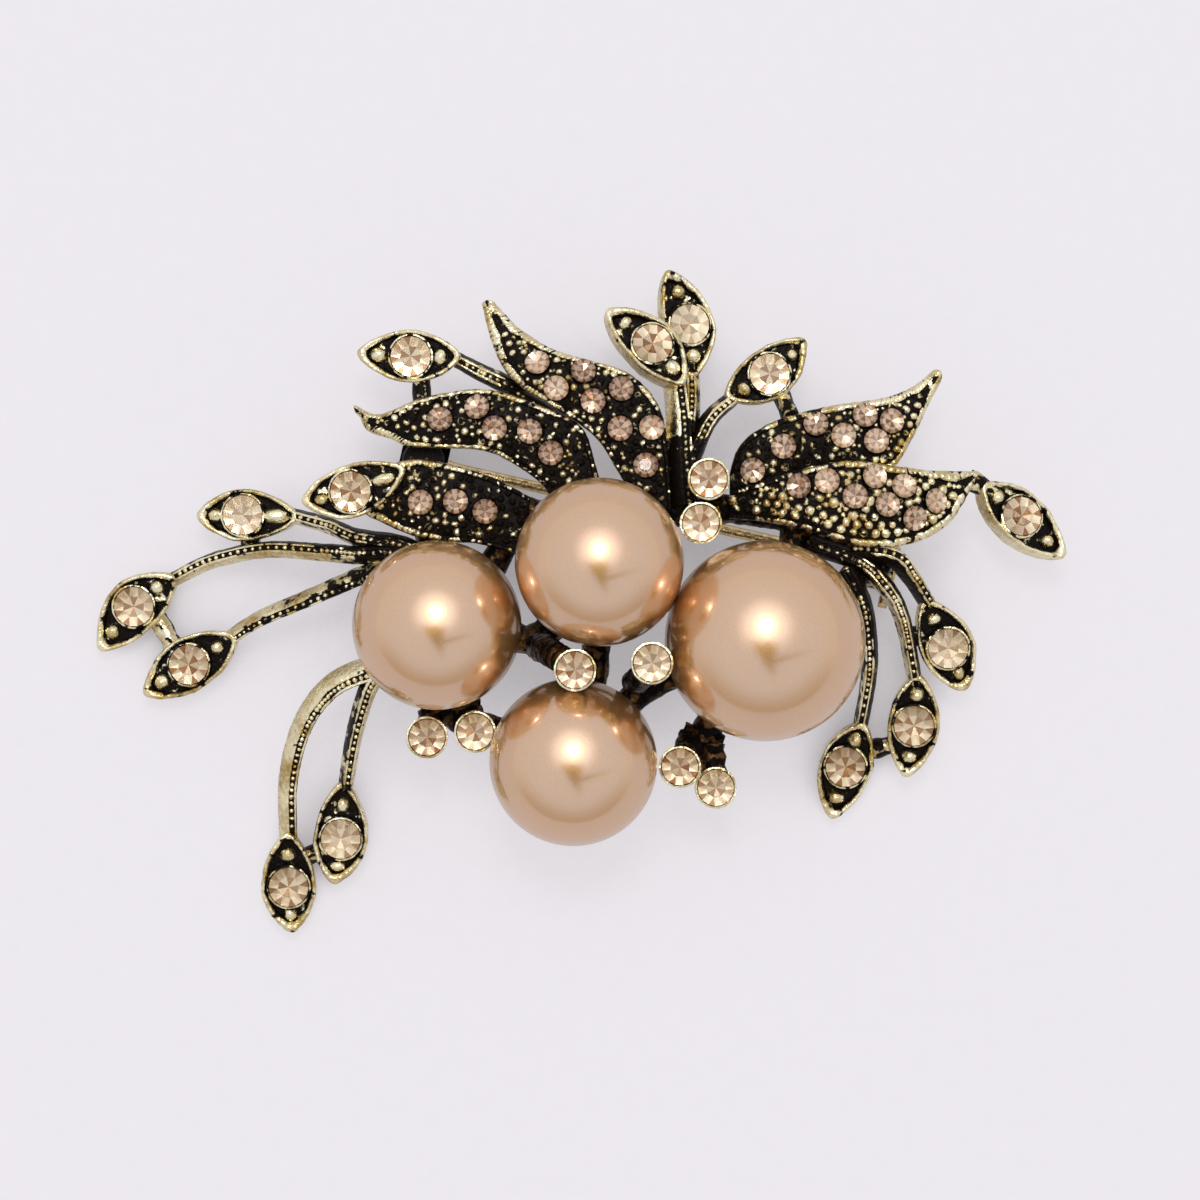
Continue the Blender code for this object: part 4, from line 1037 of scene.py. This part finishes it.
def soften(name, finish, body, shade):
    """Copy of a CAD piece with its sharp edges rounded and an even share of patina."""
    cad = frame["nodes"][name]
    bm = new_casting()
    bm.from_mesh(cad.data)
    bm.transform(cad.matrix_world)
    bmesh.ops.remove_doubles(bm, verts=bm.verts, dist=0.001 * MM)
    bmesh.ops.dissolve_limit(bm, angle_limit=math.radians(3), verts=bm.verts, edges=bm.edges)
    sharp = [edge for edge in bm.edges if edge.calc_face_angle(0.0) > math.radians(40)]
    bmesh.ops.bevel(bm, geom=sharp, offset=EDGE_ROUND * MM, segments=2, affect="EDGES", clamp_overlap=True)
    layer = bm.verts.layers.float["patina"]
    for vert in bm.verts:
        vert[layer] = shade
    mesh = casting_mesh(bm, name, roughen=0.0)
    mesh.materials.clear()
    show(f"{name}_soft", mesh, [finish], body, [name])


def build_pin_work():
    """Hinge and catch, in the shapes of the CAD with rounded edges."""
    soften("hinge_base", TRELLIS_GOLD, "brooch", 1.0)
    soften("catch_base", ANTIQUE_GOLD, "brooch", 0.2)
    soften("hinge_rivet", GILT_PIN, "brooch", 0.0)
    soften("catch_lock", GILT_PIN, "lock", 0.0)


def build_floor():
    bm = bmesh.new()
    bmesh.ops.create_grid(bm, x_segments=8, y_segments=8, size=FLOOR_HALF)
    mesh = mesh_of(bm, "floor")
    mesh.materials.append(floor_paper())
    floor = add("floor", mesh)


def build_light():
    """Pale dome with a glow round one soft lamp, a little up the picture from the camera.

    The dome has a dark stand and its arm overhead, which the pearls mirror.
    """
    world = bpy.data.worlds.new("studio")
    bpy.context.scene.world = world
    world.use_nodes = True
    tree = world.node_tree
    ray = node(tree, "ShaderNodeTexCoord").outputs["Generated"]
    parts = node(tree, "ShaderNodeSeparateXYZ", {"Vector": ray})
    x, y, z = (parts.outputs[name] for name in "XYZ")
    horizon = colour_mix(tree, remap(tree, y, -0.8, 0.0, smooth=True), (0.50, 0.43, 0.38), (0.76, 0.74, 0.75))
    dome_colour = colour_mix(tree, remap(tree, z, 0.0, 0.6, smooth=True), horizon, (0.73, 0.76, 0.86))
    toward = node(tree, "ShaderNodeVectorMath", {0: ray, 1: LAMP_DIRECTION}, operation="DOT_PRODUCT")
    glow = remap(tree, toward.outputs["Value"], 0.80, 0.99, 0.0, GLOW, smooth=True)

    def below(slope_x, slope_y, limit, soft):
        """Share of the sky on one side of a slanted line overhead."""
        reach = math_node(tree, "ADD", product(tree, x, slope_x), product(tree, y, slope_y))
        return remap(tree, reach, limit - soft, limit + soft, 1.0, 0.0, smooth=True)

    stand = product(tree, below(0.0, 1.0, -0.03, 0.13), below(0.85, -0.16, 0.20, 0.12),
                    below(-0.8, -0.6, 0.28, 0.11))
    arm = product(tree, below(-0.31, 0.95, -0.37, 0.05), below(0.31, -0.95, 0.47, 0.05),
                  remap(tree, x, 0.02, 0.14), remap(tree, x, 0.1, 0.8, 0.85, 0.1))
    shadow = product(tree, math_node(tree, "MAXIMUM", stand, arm), remap(tree, z, 0.3, 0.6))
    background = tree.nodes["Background"]
    tree.links.new(colour_mix(tree, shadow, dome_colour, (0.24, 0.185, 0.10)), background.inputs["Color"])
    tree.links.new(math_node(tree, "ADD", glow, 1.0), background.inputs["Strength"])

    lamp = bpy.data.lights.new("soft_lamp", "AREA")
    lamp.shape = "DISK"
    lamp.size = LAMP_SIZE
    lamp.energy = LAMP_POWER
    holder = add("soft_lamp", lamp)
    holder.location = Vector(LAMP_DIRECTION) * LAMP_DISTANCE
    holder.rotation_euler = (Vector((0, 0, 0)) - holder.location).to_track_quat("-Z", "Y").to_euler()


def build_camera():
    data = bpy.data.cameras.new("camera")
    data.lens = CAMERA_LENS
    data.sensor_width = SENSOR_WIDTH
    data.clip_start = 0.01
    camera = add("camera", data)
    camera.location = Vector(CAMERA_PLACE) * MM
    bpy.context.scene.camera = camera


build_camera()
build_light()
build_floor()
build_pearls()
build_castings()
build_collets()
build_stones()
build_trellis()
build_pin()
build_pin_work()

bpy.context.scene.view_settings.view_transform = "Standard"
